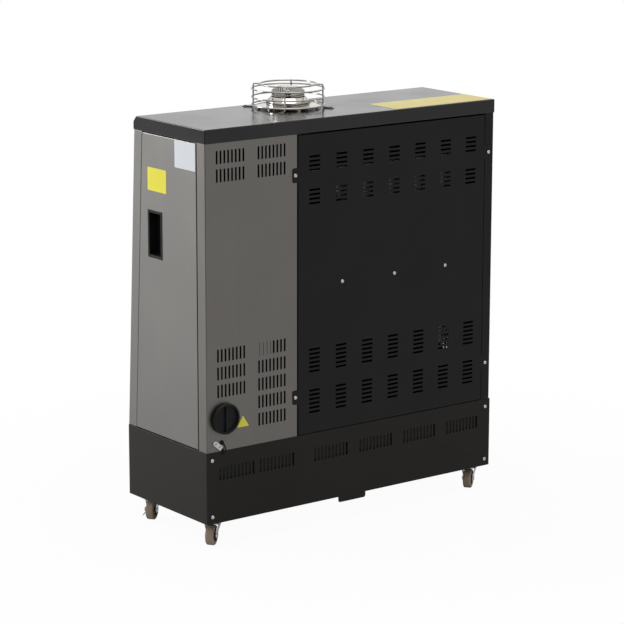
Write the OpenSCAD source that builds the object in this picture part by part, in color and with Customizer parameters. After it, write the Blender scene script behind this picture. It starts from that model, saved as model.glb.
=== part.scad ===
// Infrared diesel heater on casters, millimetres, +Z up, floor at Z = 0.
// The radiating front faces -Y, the louvred back faces +Y, the service door faces +X.

/* [Overall] */
// Width of the casing
body_w = 900; // [840:10:1000]
// Depth of the base box
base_d = 346; // [330:1:380]
// Depth of the casing just under the lid
top_d = 304; // [295:0.5:320]
// Height of the base box
base_h = 180; // [170:1:220]
// Height of the casing between base and lid
body_h = 753; // [740:1:800]
// Height of the lid
lid_h = 34.5; // [30:0.5:45]
// Depth of the flat top of the lid
lid_flat_d = 291; // [280:0.5:292]
// Drop of the sloped front edge of the lid
lid_drop = 14.5; // [8:0.5:20]
// Height of the base above the floor
caster_h = 65; // [62:1:75]

/* [Sheet metal] */
// Thickness of the sheet
sheet = 1.2; // [1:0.1:1.5]
// Width of a folded edge
fold = 14; // [10:1:16]
// Gap between the lid's side and the side panels' outer faces
side_inset = 1.6; // [1.2:0.1:2.5]
// How far the base stands out past the side panels
base_out = 1.6; // [0.4:0.1:3]
// Clearance between a panel and its neighbour
panel_gap = 0.3; // [0.2:0.1:0.6]
// Width of the service side, from the casing's edge to the back cover
service_w = 272; // [262:1:280]
// Depth of the rear panel's wrap round the service corner
wrap_d = 35; // [30:1:40]
// Depth of the front column's wrap round the service corner
front_wrap = 34; // [30:1:40]

/* [Vent slots] */
// Width of a rear panel slot
vent_w = 5; // [3:0.5:7]
// Height of a rear panel slot
vent_h = 31.5; // [20:0.5:36]
// Distance between slots
vent_pitch = 11.05; // [9:0.05:12]
// Slots in one row
vent_count = 8; // [4:1:9]
// Distance between rows
vent_row = 44; // [38:1:46]
// Rear edge of the casing to the middle of the outer slot group
vent_in_a = 74.5; // [66:0.5:80]
// Rear edge of the casing to the middle of the inner slot group
vent_in_b = 196; // [185:1:205]
// Lid to the top of the upper rows
vent_top = 18.5; // [12:0.5:30]
// Deck to the top of the lower rows
vent_low = 253; // [240:1:270]

/* [Back cover] */
// Gap between the steel panel and the back cover
cover_gap = 3; // [2:0.5:5]
// Gap between the lid and the back cover
cover_top_gap = 3.5; // [2:0.5:6]
// Width of the rear post on the far side
post_w = 28; // [24:1:32]
// Width of a louvre slot
louvre_w = 33; // [20:1:40]
// Height of a louvre slot
louvre_h = 5; // [3:0.5:7]
// Height between louvre slots
louvre_pitch = 11; // [9:0.5:12]
// Columns of louvre slots
louvre_cols = 7; // [3:1:7]
// Cover's edge to the middle of the first column
louvre_in = 50; // [40:1:55]
// Cover's far edge to the middle of the last column
louvre_far_in = 46.6; // [40:0.2:60]
// Tab that takes a cover screw: how far it reaches past the cover
tab_w = 17; // [14:1:20]
// How far the far side's tab reaches past the cover
far_tab_w = 21; // [18:1:24]
// Height of a tab
tab_h = 36; // [24:1:44]
// Lid to the middle of the upper tabs
tab_top = 100; // [80:1:140]
// Deck to the middle of the lower tabs
tab_low = 99; // [80:1:140]

/* [Base] */
// Width of a base slot
base_vent_w = 5; // [3:0.5:7]
// Height of a base slot
base_vent_h = 33; // [20:1:36]
// Slots in one base group
base_vent_count = 10; // [4:1:10]
// Top of the base slots under the deck
base_vent_top = 40; // [30:1:60]
// Width of the tie-down bracket under the base
bracket_w = 86; // [60:1:110]
// How far the tie-down bracket hangs under the base
bracket_drop = 15; // [8:1:18]

/* [Casters] */
// Caster stem to the service side of the casing
caster_in_near = 48; // [44:1:60]
// Caster stem to the far side of the casing
caster_in_far = 28; // [25:1:60]
// Caster stem to the rear of the casing
caster_in_rear = 45; // [30:1:60]
// Caster stem to the front of the base
caster_in_front = 37; // [25:1:60]
// Wheel radius
wheel_r = 25; // [22:0.5:26]
// Wheel width
wheel_w = 20; // [14:1:22]
// Wheel axle radius
axle_r = 3; // [2.5:0.25:4]
// Distance from the stem to the wheel's axle
caster_trail = 12; // [10:1:16]
// Direction that the wheels trail in at rest, from +X towards +Y
caster_yaw = 38; // [0:1:90]
// Clearance of a shaft in its bore
run_gap = 0.05; // [0.03:0.01:0.08]
// Caster plate, square
caster_plate_w = 40; // [36:1:46]

/* [Service door] */
// Gap behind the door
door_rear_gap = 4; // [3:0.5:6]
// Gap in front of the door
door_front_gap = 2; // [1:0.5:4]
// Gap between the door and the deck
door_low_gap = 1; // [1:0.5:4]
// Gap between the door and the lid
door_top_gap = 2; // [1.5:0.5:4]
// Hinge pin radius
hinge_r = 3; // [2:0.5:4]
// Hinge axis behind the door's outer face
hinge_in = 6.5; // [6:0.5:8]
// Hinge axis in front of the door's rear edge
hinge_fwd = 10; // [9:0.5:12]
// Width of the recessed pull's rim
pull_w = 61.5; // [50:0.5:70]
// Height of the recessed pull's rim
pull_h = 118; // [90:1:140]
// Depth of the recess
pull_d = 26; // [18:1:34]
// Rim round the recess
pull_rim = 9; // [6:0.5:12]
// Middle of the pull behind the rear of the casing
pull_y = 215.7; // [180:0.1:230]
// Lid to the middle of the pull
pull_drop = 248; // [150:1:350]

/* [Exhaust] */
// Service part to the exhaust's middle
flue_in = 114; // [108:1:138]
// Exhaust's middle, from the rear of the casing
flue_d = 192; // [180:1:200]
// Radiant tube radius
tube_r = 45; // [38:0.5:46]
// Radiant tube wall
tube_wall = 1.5; // [1.2:0.1:3]
// Height between the passes of the radiant tube
tube_pitch = 150; // [140:1:154]
// Middle of the lowest pass above the deck
tube_z = 130; // [110:1:140]
// Radius of the exhaust's flange disc
cap_flange_r = 83; // [76:0.5:84]
// Radius of the exhaust's lower drum
cap_drum_r = 55; // [50:0.5:60]
// Radius of the exhaust's crown
crown_r = 41; // [36:0.5:44]
// Radius of the guard's upright wires
guard_r = 87; // [86:0.5:95]
// Height of the guard
guard_h = 61; // [58:1:70]
// Guard wire radius
wire_r = 2; // [1.5:0.25:2.5]
// Radius of the circle of the guard's feet
guard_foot_r = 108; // [104:0.5:112]

/* [Fuel] */
// Fuel cap radius
cap_r = 38.5; // [34:0.5:40]
// How far the fuel cap stands out behind the casing
cap_proud = 12; // [10:0.5:16]
// Fuel cap's middle, in from the service side
cap_in = 53; // [50:0.5:60]
// Fuel cap's middle above the deck
cap_z = 81; // [76:1:90]
// Filler neck outer radius
neck_r = 27; // [24:0.5:28]
// Filler neck wall
neck_wall = 1.5; // [1.2:0.1:2.5]
// Filler neck bend radius
neck_bend = 32; // [30:1:36]
// Fuel line radius
line_r = 3; // [2.5:0.25:4]

/* [Front] */
// Width of the guard frame's upper rail
frame_top = 95; // [80:1:110]
// Width of the guard frame's lower rail
frame_low = 25; // [20:1:40]
// Width of the guard frame's far rail
frame_far = 48; // [40:1:60]
// Distance between the guard's bars
grille_pitch = 20; // [16:1:30]
// Guard bar radius
bar_r = 2; // [1.5:0.25:2.5]
// Distance from the casing's back to the reflector's back
reflector_in = 20; // [18:0.5:24]
// Control panel width
panel_w = 196; // [180:1:210]
// Control panel height
panel_h = 128; // [110:1:150]
// Top of the casing to the top of the control panel
panel_drop = 70; // [60:1:120]
// Button radius
button_r = 8; // [6:0.5:9]
// Button travel
button_travel = 1.2; // [1:0.1:2]

/* [Burner] */
// Fan wheel radius
fan_r = 58; // [50:1:62]
// Fan wheel width
fan_w = 34; // [28:1:40]
// Fan housing wall
housing_wall = 2; // [1.5:0.1:3]
// Motor radius
motor_r = 40; // [34:1:44]
// Motor length
motor_len = 78; // [60:1:80]
// Motor shaft radius
shaft_r = 4; // [3:0.5:5]
// Blast tube radius
blast_r = 34; // [28:1:36]

/* [Hidden] */
$fn = 48;
eps = 0.01;

// Levels and faces that everything shares
deck_z = caster_h + base_h;
lid_z0 = deck_z + body_h;
lid_z1 = lid_z0 + lid_h;
half_w = body_w / 2;
rear_y = (base_d - cap_proud) / 2;
front_y = rear_y - base_d;
panel_y = rear_y - sheet;
side_x = half_w - side_inset;
base_x = side_x + base_out;
split_x = half_w - service_w;
flue_x = split_x - flue_in;
lean = atan((base_d - top_d) / body_h);
slope_h = body_h / cos(lean);
far_post_x = side_x - post_w;

// Inside of the casing
partition_x = split_x - 2 * sheet - 1;
reflector_y = rear_y - reflector_in;
flue_y = rear_y - flue_d;
pass_z = [for (i = [0:3]) deck_z + tube_z + i * tube_pitch];
tube_bend = tube_pitch / 2;
ceiling_z = pass_z[3] + tube_bend + 3;
near_wing_x = split_x - 28;
far_wing_x = -side_x + 98;
wing_flare = 65;
near_flare = 22;
bend_far_x = far_wing_x + 95.4;
bend_near_x = flue_x - 34;
tube_in = tube_r - tube_wall;
flue_wall = 1.2;
flue_r = tube_r + run_gap + flue_wall;

// Service door
door_y1 = rear_y - wrap_d - door_rear_gap;
door_front_d = (front_wrap + door_front_gap) / cos(lean);
door_z0 = deck_z + door_low_gap;
door_z1 = lid_z0 - door_top_gap;
hinge_x = side_x - hinge_in;
hinge_y = door_y1 - hinge_fwd;
pull_c = [rear_y - pull_y, lid_z0 - pull_drop];
pull_t = 1.2;
sign_t = 0.4;
pale_sign = [87, 66];
yellow_sign = [80.5, 57];
lid_strip = [314, 112];
triangle_w = 35;
triangle_h = 28;

// Fuel cap, filler and tank
neck_c = [half_w - cap_in, deck_z + cap_z];
neck_in = neck_r - neck_wall;
plug_r = neck_in - 2 * run_gap;
flange_t = 2;
seal_t = 1.8;
tank_wall = 1.5;
tank_z0 = caster_h + sheet;
tank_z1 = deck_z - 16;
tank_x0 = -base_x + 35;
tank_x1 = base_x - 12;
tank_y0 = front_y + 28;
tank_y1 = panel_y - 8;
neck_run = 12;
neck_drop_y = panel_y - neck_run - neck_bend;
outlet = [split_x + 52, front_y + 62];

// Casters: name order is front right, rear right, front left, rear left
caster_x = [half_w - caster_in_near, half_w - caster_in_near,
    -half_w + caster_in_far, -half_w + caster_in_far];
caster_y = [front_y + caster_in_front, rear_y - caster_in_rear,
    front_y + caster_in_front, rear_y - caster_in_rear];
plate_t = 2.5;
race_t = 3.5;
race_gap = 0.3;
fork_t = 2.2;
fork_top = caster_h - plate_t - race_t - race_gap;
fork_gap = 1.8;
fork_in = wheel_w / 2 + fork_gap;
pin_r = 4;
fork_top_w = 20;
dish_r = 21.5;
dish_h = 6.5;
lever_t = 2;
lever_drop = 16;

// Screws
screw_r = 4.6;
screw_shank = 2;
screw_gap = 0.1;
tab_z = [lid_z0 - tab_top, deck_z + tab_low];
tab_screw_in = 9;
far_screw_in = 12.5;
cover_x1 = split_x - cover_gap;
cover_x0 = -far_post_x + cover_gap - 1;
cover_z0 = deck_z + 1.5;
cover_z1 = lid_z0 - cover_top_gap;
louvre_col = (cover_x1 - cover_x0 - louvre_in - louvre_far_in) / (louvre_cols - 1);
mid_near_x = cover_x1 - 135.5;
mid_far_x = cover_x0 + 127.4;
mid_screw_x = [mid_near_x, (mid_near_x + mid_far_x) / 2, mid_far_x];
mid_screw_z = deck_z + body_h / 2 - 2;
base_screw_in = 16;
base_screw_z = [caster_h + 18, deck_z - 20];

// Louvre groups: how far the top slot lies under the lid, or above the deck, and its slots
upper_groups = [[58, 4], [140, 4]];
lower_groups = [[214, 6], [110, 6]];
near_vents = [89, 210];
wide_vents = 4;
wide_x0 = split_x - 105.5;
wide_x1 = 95 - half_w;
base_vent_x = concat([for (d = near_vents) half_w - d],
    [for (i = [0:wide_vents - 1]) wide_x0 + i * (wide_x1 - wide_x0) / (wide_vents - 1)]);
base_vent_pitch = 11.07;
louvre_z = concat([for (g = upper_groups) [lid_z0 - g[0], g[1]]],
    [for (g = lower_groups) [deck_z + g[0], g[1]]]);

// Perforation of the reflector's back: two holes a row, in the rows behind each lower louvre group
perf_r = 2.75;
perf_rows = [0, 1, 3, 4, 5];
perf_dx = [-17.7, -28.7];
perf_dz = -5.6;

// Exhaust heights above the lid
leg_h = 4;
disc_t = 1.5;
drum_top = 17;
cone_top = 28;
crown_gap = 2;
crown_h = 17;
crown_top_r = 29;
fin_h = 9;
cone_r = crown_r + 2.5;
flue_hole_r = 60;
eyelet_r = 7;
eyelet_t = 2 * wire_r + 0.4;
upright_turn = 3.5;

// Control panel, in the leaning frame of the front
panel_x = (split_x + side_x) / 2;
panel_v = slope_h - panel_drop - panel_h / 2;
panel_t = 3;
panel_boss = 9;
button_dx = 36;
button_v = -34;
button_len = 9;
button_gap = 0.15;
board_y = sheet + panel_boss + 6;

// A plate seen from the side: points are [y, z], drawn from x0 towards +X
module side_plate(x0, t, points) {
    translate([x0, 0, 0])
        rotate([90, 0, 90])
            linear_extrude(t)
                polygon(points);
}

// A box between two corners
module span(a, b) {
    translate(a)
        cube(b - a);
}

// The leaning frame of the front: y = 0 on the outer face, +y inwards, z up the slope
module leaning() {
    translate([0, front_y, deck_z])
        rotate([-lean, 0, 0])
            children();
}

// Keeps what lies between the deck and the lid
module between_deck_and_lid(z0 = deck_z, z1 = lid_z0) {
    intersection() {
        children();
        span([-half_w, front_y - 5, z0], [half_w, rear_y, z1]);
    }
}

// Depth, in Y, of the leaning front at a height
function front_at(z) = front_y + (z - deck_z) * tan(lean);

// A round bar through a list of points
module bar_path(points, r) {
    for (i = [0:len(points) - 2]) {
        d = points[i + 1] - points[i];
        length = norm(d);
        translate(points[i])
            rotate([0, acos(d[2] / length), atan2(d[1], d[0])])
                cylinder(h = length, r = r);
    }
    for (i = [1:len(points) - 2])
        translate(points[i])
            sphere(r = r * 1.02);
}

// A point at a radius, a turn about Z and a height
function round_z(r, turn, z) = [r * cos(turn), r * sin(turn), z];

// A ring of round wire
module wire_ring(ring_r, r) {
    rotate_extrude()
        translate([ring_r, 0])
            circle(r = r);
}

// A row of slots in a rear face, in the XZ plane, cut through in Y
module slot_row(x, z_top, count, pitch, w, h) {
    for (i = [0:count - 1])
        translate([x + (i - (count - 1) / 2) * pitch - w / 2, panel_y - 4, z_top - h])
            cube([w, 8, h]);
}

// A hole in a rear face
module rear_hole(x, z, r, depth = 30) {
    translate([x, rear_y + 1, z])
        rotate([90, 0, 0])
            cylinder(h = depth, r = r);
}

// Rounded vertical corner for a folded sheet: quarter ring between two legs
module fold_corner(r_out, h, from) {
    rotate([0, 0, from])
        rotate_extrude(angle = 90)
            translate([r_out - sheet, 0])
                square([sheet, h]);
}

module base_shell() {
    r = 2;
    color([0.13, 0.125, 0.12]) {
        difference() {
            union() {
                span([-base_x, front_y + r, caster_h], [base_x, panel_y, deck_z]);
                span([-base_x + r, front_y, caster_h], [base_x - r, panel_y, deck_z]);
                for (sx = [-1, 1])
                    translate([sx * (base_x - r), front_y + r, caster_h])
                        cylinder(h = base_h, r = r);
            }
            span([-base_x + sheet, front_y + sheet, caster_h + sheet],
                [base_x - sheet, panel_y - sheet, deck_z - 2 * sheet]);
            span([-base_x + fold, front_y + fold, deck_z - 3 * sheet],
                [base_x - fold, panel_y + 1, deck_z + 1]);
            span([-base_x + sheet, front_y + sheet, deck_z - sheet],
                [base_x - sheet, panel_y + 1, deck_z + 1]);
            span([-base_x + fold + 6, panel_y - 2 * sheet, caster_h + fold],
                [base_x - fold - 6, panel_y + 1, deck_z + 1]);
            for (sx = [-1, 1], z = base_screw_z)
                rear_hole(sx * (half_w - base_screw_in), z, screw_shank + screw_gap);
        }
    }
}

module base_rear_plate() {
    color([0.12, 0.12, 0.12])
        difference() {
            span([-base_x, panel_y, caster_h], [base_x, rear_y, deck_z]);
            for (x = base_vent_x)
                slot_row(x, deck_z - base_vent_top, base_vent_count, base_vent_pitch,
                    base_vent_w, base_vent_h);
            for (sx = [-1, 1], z = base_screw_z)
                rear_hole(sx * (half_w - base_screw_in), z, screw_shank + screw_gap);
        }
}

module deck_plate() {
    edge = sheet + panel_gap;
    color([0.55, 0.55, 0.55])
        difference() {
            span([-base_x + edge, front_y + edge, deck_z - sheet], [base_x - edge, panel_y, deck_z]);
            translate([neck_c[0], neck_drop_y, deck_z - 5])
                cylinder(h = 10, r = neck_r + panel_gap);
            translate([outlet[0], outlet[1], deck_z - 5])
                cylinder(h = 10, r = line_r + panel_gap);
        }
}

module fuel_tank() {
    color([0.2, 0.2, 0.2])
        difference() {
            span([tank_x0, tank_y0, tank_z0], [tank_x1, tank_y1, tank_z1]);
            span([tank_x0 + tank_wall, tank_y0 + tank_wall, tank_z0 + tank_wall],
                [tank_x1 - tank_wall, tank_y1 - tank_wall, tank_z1 - tank_wall]);
            translate([neck_c[0], neck_drop_y, tank_z1 - 5])
                cylinder(h = 10, r = neck_r + run_gap);
            translate([outlet[0], outlet[1], tank_z1 - 5])
                cylinder(h = 10, r = line_r + run_gap);
        }
}

module under_bracket() {
    t = 2;
    r = 6;
    y1 = panel_y;
    x0 = 4 - bracket_w / 2;
    x1 = 4 + bracket_w / 2;
    z0 = caster_h - bracket_drop;
    color([0.1, 0.1, 0.1]) {
        span([x0, y1 - t, z0 + r], [x1, y1, caster_h]);
        span([x0 + r, y1 - t, z0], [x1 - r, y1, caster_h]);
        for (x = [x0 + r, x1 - r])
            translate([x, y1, z0 + r])
                rotate([90, 0, 0])
                    cylinder(h = t, r = r);
        span([x0, y1 - 42, caster_h - t], [x1, y1, caster_h]);
    }
}

// The fixed part of a caster: plate, race and king pin
module caster_plate() {
    pin_head = 2;
    color([0.75, 0.76, 0.78]) {
        span([-caster_plate_w / 2, -caster_plate_w / 2, caster_h - plate_t],
            [caster_plate_w / 2, caster_plate_w / 2, caster_h]);
        translate([0, 0, caster_h - plate_t - race_t])
            cylinder(h = race_t, r1 = 13, r2 = 16);
        translate([0, 0, fork_top - fork_t - race_gap])
            cylinder(h = race_t + fork_t + 2 * race_gap, r = pin_r);
        translate([0, 0, fork_top - fork_t - race_gap - pin_head])
            cylinder(h = pin_head, r = pin_r + 2.5);
    }
}

module caster_plates() {
    for (i = [0:3])
        translate([caster_x[i], caster_y[i], 0])
            caster_plate();
}

// Fork with its riveted axle; its local +X is the way the wheel trails
module fork(i, axle_out = 0) {
    cheek_y = fork_in + fork_t;
    splay_z = fork_top - 23;
    foot_z = wheel_r - 6;
    axle_y = cheek_y + 2;
    axle_len = 2 * axle_y + axle_out;
    color([0.72, 0.74, 0.77])
        translate([caster_x[i], caster_y[i], 0])
            rotate([0, 0, caster_yaw]) {
                intersection() {
                    difference() {
                        side_plate(-20, 50, [[-fork_top_w, fork_top], [fork_top_w, fork_top],
                            [cheek_y, splay_z], [cheek_y, foot_z],
                            [-cheek_y, foot_z], [-cheek_y, splay_z]]);
                        side_plate(-21, 52, [[fork_t - fork_top_w, fork_top - fork_t],
                            [fork_top_w - fork_t, fork_top - fork_t], [fork_in, splay_z],
                            [fork_in, foot_z - 1], [-fork_in, foot_z - 1], [-fork_in, splay_z]]);
                        translate([0, 0, fork_top - fork_t - 1])
                            cylinder(h = fork_t + 2, r = pin_r + run_gap);
                    }
                    translate([0, fork_top_w + 1, 0])
                        rotate([90, 0, 0])
                            linear_extrude(2 * fork_top_w + 2)
                                polygon([[-9, fork_top], [9, fork_top], [14, fork_top - dish_h],
                                    [caster_trail + 7, wheel_r + 3], [caster_trail + 5, foot_z],
                                    [caster_trail - 5, foot_z], [-13, fork_top - dish_h - 2]]);
                }
                rotate_extrude()
                    polygon([[pin_r + run_gap, fork_top - fork_t], [pin_r + run_gap, fork_top],
                        [dish_r, fork_top], [dish_r - 3, fork_top - dish_h],
                        [dish_r - 3 - fork_t, fork_top - dish_h], [dish_r - 1 - fork_t, fork_top - fork_t]]);
                translate([caster_trail, axle_y, wheel_r])
                    rotate([90, 0, 0]) {
                        cylinder(h = axle_len, r = axle_r);
                        for (z = [0, axle_len - 2])
                            translate([0, 0, z])
                                cylinder(h = 2, r = axle_r + 2.2);
                    }
            }
}

module fork_front_right() { fork(0, lever_t + 1); }
module fork_rear_right() { fork(1); }
module fork_front_left() { fork(2, lever_t + 1); }
module fork_rear_left() { fork(3); }

module wheel(i) {
    hub_r = wheel_r * 0.62;
    hub_in = 2.5;
    edge = 3;
    hw = wheel_w / 2;
    color([0.5, 0.45, 0.38])
        translate([caster_x[i], caster_y[i], 0])
            rotate([0, 0, caster_yaw])
                translate([caster_trail, 0, wheel_r])
                    rotate([90, 0, 0])
                        rotate_extrude()
                            polygon([[axle_r + run_gap, -hw], [7, -hw], [8, -hw + hub_in],
                                [hub_r, -hw + hub_in], [hub_r + 1, -hw], [wheel_r - edge, -hw],
                                [wheel_r - 1, -hw + 1.5], [wheel_r, -hw + 4], [wheel_r, hw - 4],
                                [wheel_r - 1, hw - 1.5], [wheel_r - edge, hw], [hub_r + 1, hw],
                                [hub_r, hw - hub_in], [8, hw - hub_in], [7, hw], [axle_r + run_gap, hw]]);
}

module wheel_front_right() { wheel(0); }
module wheel_rear_right() { wheel(1); }
module wheel_front_left() { wheel(2); }
module wheel_rear_left() { wheel(3); }

// Foot lever of a braked caster, beside the fork on the end of the axle
module brake_lever(i) {
    y0 = -(fork_in + fork_t + 0.3 + lever_t);
    flare = 8;
    color([0.22, 0.26, 0.3])
        translate([caster_x[i], caster_y[i], 0])
            rotate([0, 0, caster_yaw])
                translate([caster_trail, y0, wheel_r])
                    difference() {
                        union() {
                            rotate([-90, 0, 0])
                                cylinder(h = lever_t, r = 6);
                            side_plate(-5, 10, [[0, 2], [lever_t, 2], [lever_t, -5.5],
                                [lever_t - flare, -lever_drop], [-flare, -lever_drop], [0, -5.5]]);
                        }
                        translate([0, -1, 0])
                            rotate([-90, 0, 0])
                                cylinder(h = lever_t + 2, r = axle_r + run_gap);
                    }
}

module brake_front_right() { brake_lever(0); }
module brake_front_left() { brake_lever(2); }

// Steel front of the service side, folded round the front corner
module front_column() {
    x0 = split_x;
    color([0.6, 0.6, 0.58])
        between_deck_and_lid()
            leaning()
                difference() {
                    union() {
                        span([x0, 0, -20], [side_x, sheet, slope_h + 20]);
                        span([side_x - sheet, 0, -20], [side_x, front_wrap, slope_h + 20]);
                        span([x0, 0, -20], [x0 + sheet, fold, slope_h + 20]);
                        span([side_x - fold, front_wrap - sheet, -20], [side_x, front_wrap, slope_h + 20]);
                    }
                    translate([panel_x, 0, panel_v])
                        span([-panel_w / 2 + 8, -1, -panel_h / 2 + 8],
                            [panel_w / 2 - 8, sheet + 1, panel_h / 2 - 8]);
                }
}

// Steel rear panel with its vents, folded round the rear corner
module rear_panel() {
    r = 3;
    y_side = rear_y - wrap_d;
    color([0.42, 0.41, 0.39])
        difference() {
            union() {
                span([split_x, panel_y - sheet, deck_z], [side_x - r, panel_y, lid_z0]);
                span([side_x - sheet, y_side, deck_z], [side_x, panel_y - r, lid_z0]);
                translate([side_x - r, panel_y - r, deck_z])
                    fold_corner(r, body_h, 0);
                span([split_x, panel_y - fold, deck_z], [split_x + sheet, panel_y, lid_z0]);
                span([side_x - 11, y_side, deck_z], [side_x, y_side + sheet, lid_z0]);
            }
            for (x = [half_w - vent_in_a, half_w - vent_in_b], i = [0:1])
                slot_row(x, lid_z0 - vent_top - i * vent_row, vent_count, vent_pitch, vent_w, vent_h);
            for (i = [0:2])
                slot_row(half_w - vent_in_a, deck_z + vent_low - i * vent_row, vent_count, vent_pitch,
                    vent_w, vent_h);
            for (i = [0:4])
                slot_row(half_w - vent_in_b, deck_z + vent_low - i * vent_row, vent_count, vent_pitch,
                    vent_w, vent_h);
            rear_hole(neck_c[0], neck_c[1], neck_r + panel_gap, 10);
            rear_hole(grommet_c[0], grommet_c[1], grommet_r - 2, 10);
            for (z = tab_z)
                rear_hole(cover_x1 + tab_screw_in, z, screw_shank + screw_gap, 10);
        }
}

// Side view of the door between two heights, moved in from its edges by d
function door_outline(z0, z1, d) = [
    [door_y1 - d, z0], [door_y1 - d, z1],
    [front_at(z1) + door_front_d + d, z1], [front_at(z0) + door_front_d + d, z0]];

// Steel service door: a skin with four folded edges
module side_door() {
    x1 = side_x;
    hole_w = pull_w - pull_rim;
    hole_h = pull_h - pull_rim;
    color([0.6, 0.6, 0.58])
        difference() {
            side_plate(x1 - fold, fold, door_outline(door_z0, door_z1, 0));
            side_plate(x1 - fold - 1, fold + 1 - sheet,
                door_outline(door_z0 + sheet, door_z1 - sheet, sheet));
            translate([hinge_x, hinge_y, deck_z - 10])
                cylinder(h = body_h + 20, r = hinge_r + run_gap);
            span([x1 - 5, pull_c[0] - hole_w / 2, pull_c[1] - hole_h / 2],
                [x1 + 1, pull_c[0] + hole_w / 2, pull_c[1] + hole_h / 2]);
        }
}

// Recessed pull: a rim on the door's face and an open cup behind it
module door_pull() {
    hole_w = pull_w - pull_rim - 2 * panel_gap;
    hole_h = pull_h - pull_rim - 2 * panel_gap;
    wall = 2;
    x1 = side_x;
    color([0.07, 0.07, 0.07])
        translate([0, pull_c[0], pull_c[1]])
            difference() {
                union() {
                    span([x1, -pull_w / 2, -pull_h / 2], [x1 + pull_t, pull_w / 2, pull_h / 2]);
                    span([x1 - pull_d, -hole_w / 2, -hole_h / 2], [x1 + pull_t, hole_w / 2, hole_h / 2]);
                }
                span([x1 - pull_d + wall, -hole_w / 2 + wall, -hole_h / 2 + wall],
                    [x1 + pull_t + 1, hole_w / 2 - wall, hole_h / 2 - wall]);
            }
}

// Two hinge pins with their seats, one on the deck and one under the lid
module door_hinges() {
    seat_r = hinge_r + 1.2;
    seat_h = door_z0 - deck_z - 0.2;
    top_h = door_top_gap - 0.3;
    reach = 10;
    color([0.7, 0.7, 0.72])
        translate([hinge_x, hinge_y, 0]) {
            translate([-1, 0, deck_z])
                cylinder(h = seat_h, r = seat_r);
            translate([0, 0, deck_z])
                cylinder(h = reach, r = hinge_r);
            translate([-1, 0, lid_z0 - top_h])
                cylinder(h = top_h, r = seat_r);
            translate([0, 0, lid_z0 - reach])
                cylinder(h = reach, r = hinge_r);
        }
}

// Black panel of the far side, folded round the rear corner into the post
module far_side_panel() {
    r = 3;
    color([0.12, 0.12, 0.125])
        difference() {
            union() {
                side_plate(-side_x, sheet, [[panel_y - r, deck_z], [panel_y - r, lid_z0],
                    [front_at(lid_z0) + sheet / cos(lean) + panel_gap, lid_z0],
                    [front_y + sheet / cos(lean) + panel_gap, deck_z]]);
                span([-side_x + r, panel_y - sheet, deck_z], [-far_post_x, panel_y, lid_z0]);
                translate([-side_x + r, panel_y - r, deck_z])
                    fold_corner(r, body_h, 90);
                span([-far_post_x - sheet, panel_y - fold, deck_z], [-far_post_x, panel_y, lid_z0]);
            }
            for (z = tab_z)
                rear_hole(cover_x0 - far_screw_in, z, screw_shank + screw_gap, 10);
        }
}

// Black louvred back cover: a tray with four screw tabs
module back_cover() {
    lip = 9;
    color([0.12, 0.12, 0.125])
        difference() {
            union() {
                span([cover_x0, panel_y, cover_z0], [cover_x1, rear_y, cover_z1]);
                for (z = tab_z) {
                    span([cover_x1 - eps, panel_y, z - tab_h / 2],
                        [cover_x1 + tab_w, rear_y, z + tab_h / 2]);
                    span([cover_x0 - far_tab_w, panel_y, z - tab_h / 2],
                        [cover_x0 + eps, rear_y, z + tab_h / 2]);
                }
                difference() {
                    span([cover_x0, rear_y - lip, cover_z0], [cover_x1, rear_y, cover_z1]);
                    span([cover_x0 + sheet, rear_y - lip - 1, cover_z0 + sheet],
                        [cover_x1 - sheet, rear_y + 1, cover_z1 - sheet]);
                }
            }
            for (c = [0:louvre_cols - 1], g = louvre_z, i = [0:g[1] - 1])
                translate([cover_x1 - louvre_in - c * louvre_col - louvre_w / 2, panel_y - 2,
                    g[0] - i * louvre_pitch - louvre_h / 2])
                    cube([louvre_w, 6, louvre_h]);
            for (z = tab_z) {
                rear_hole(cover_x1 + tab_screw_in, z, screw_shank + screw_gap, 6);
                rear_hole(cover_x0 - far_screw_in, z, screw_shank + screw_gap, 6);
            }
            for (x = mid_screw_x)
                rear_hole(x, mid_screw_z, screw_shank + screw_gap, 6);
        }
}

// Lid with a sloped front edge and folded lower edges
module top_cover() {
    y1 = rear_y;
    y0 = rear_y - top_d;
    yf = rear_y - lid_flat_d;
    color([0.16, 0.16, 0.17])
        difference() {
            side_plate(-half_w, body_w, [[y1, lid_z0], [y1, lid_z1], [yf, lid_z1],
                [y0, lid_z1 - lid_drop], [y0, lid_z0]]);
            side_plate(-half_w + sheet, body_w - 2 * sheet, [[y1 - sheet, lid_z0 + sheet],
                [y1 - sheet, lid_z1 - sheet], [yf + sheet / 2, lid_z1 - sheet],
                [y0 + sheet, lid_z1 - lid_drop - sheet / 2], [y0 + sheet, lid_z0 + sheet]]);
            span([-half_w + fold, y0 + fold, lid_z0 - 1], [half_w - fold, y1 - fold, lid_z0 + 5]);
            translate([flue_x, flue_y, lid_z1 - 10])
                cylinder(h = 20, r = flue_hole_r);
            for (a = [45:90:315])
                translate([flue_x, flue_y, lid_z1 - 10])
                    rotate([0, 0, a])
                        translate([guard_foot_r, 0, 0])
                            cylinder(h = 20, r = screw_shank + screw_gap);
        }
}

// Sheet wall between the burner side and the radiating side
module inner_partition() {
    color([0.66, 0.67, 0.68])
        difference() {
            side_plate(partition_x, sheet, [[reflector_y, deck_z], [reflector_y, lid_z0 - 1],
                [front_at(lid_z0) + fold + 4, lid_z0 - 1], [front_y + fold + 4, deck_z]]);
            translate([partition_x - 5, flue_y, pass_z[0]])
                rotate([0, 90, 0])
                    cylinder(h = 10, r = tube_r + panel_gap);
        }
}

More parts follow.
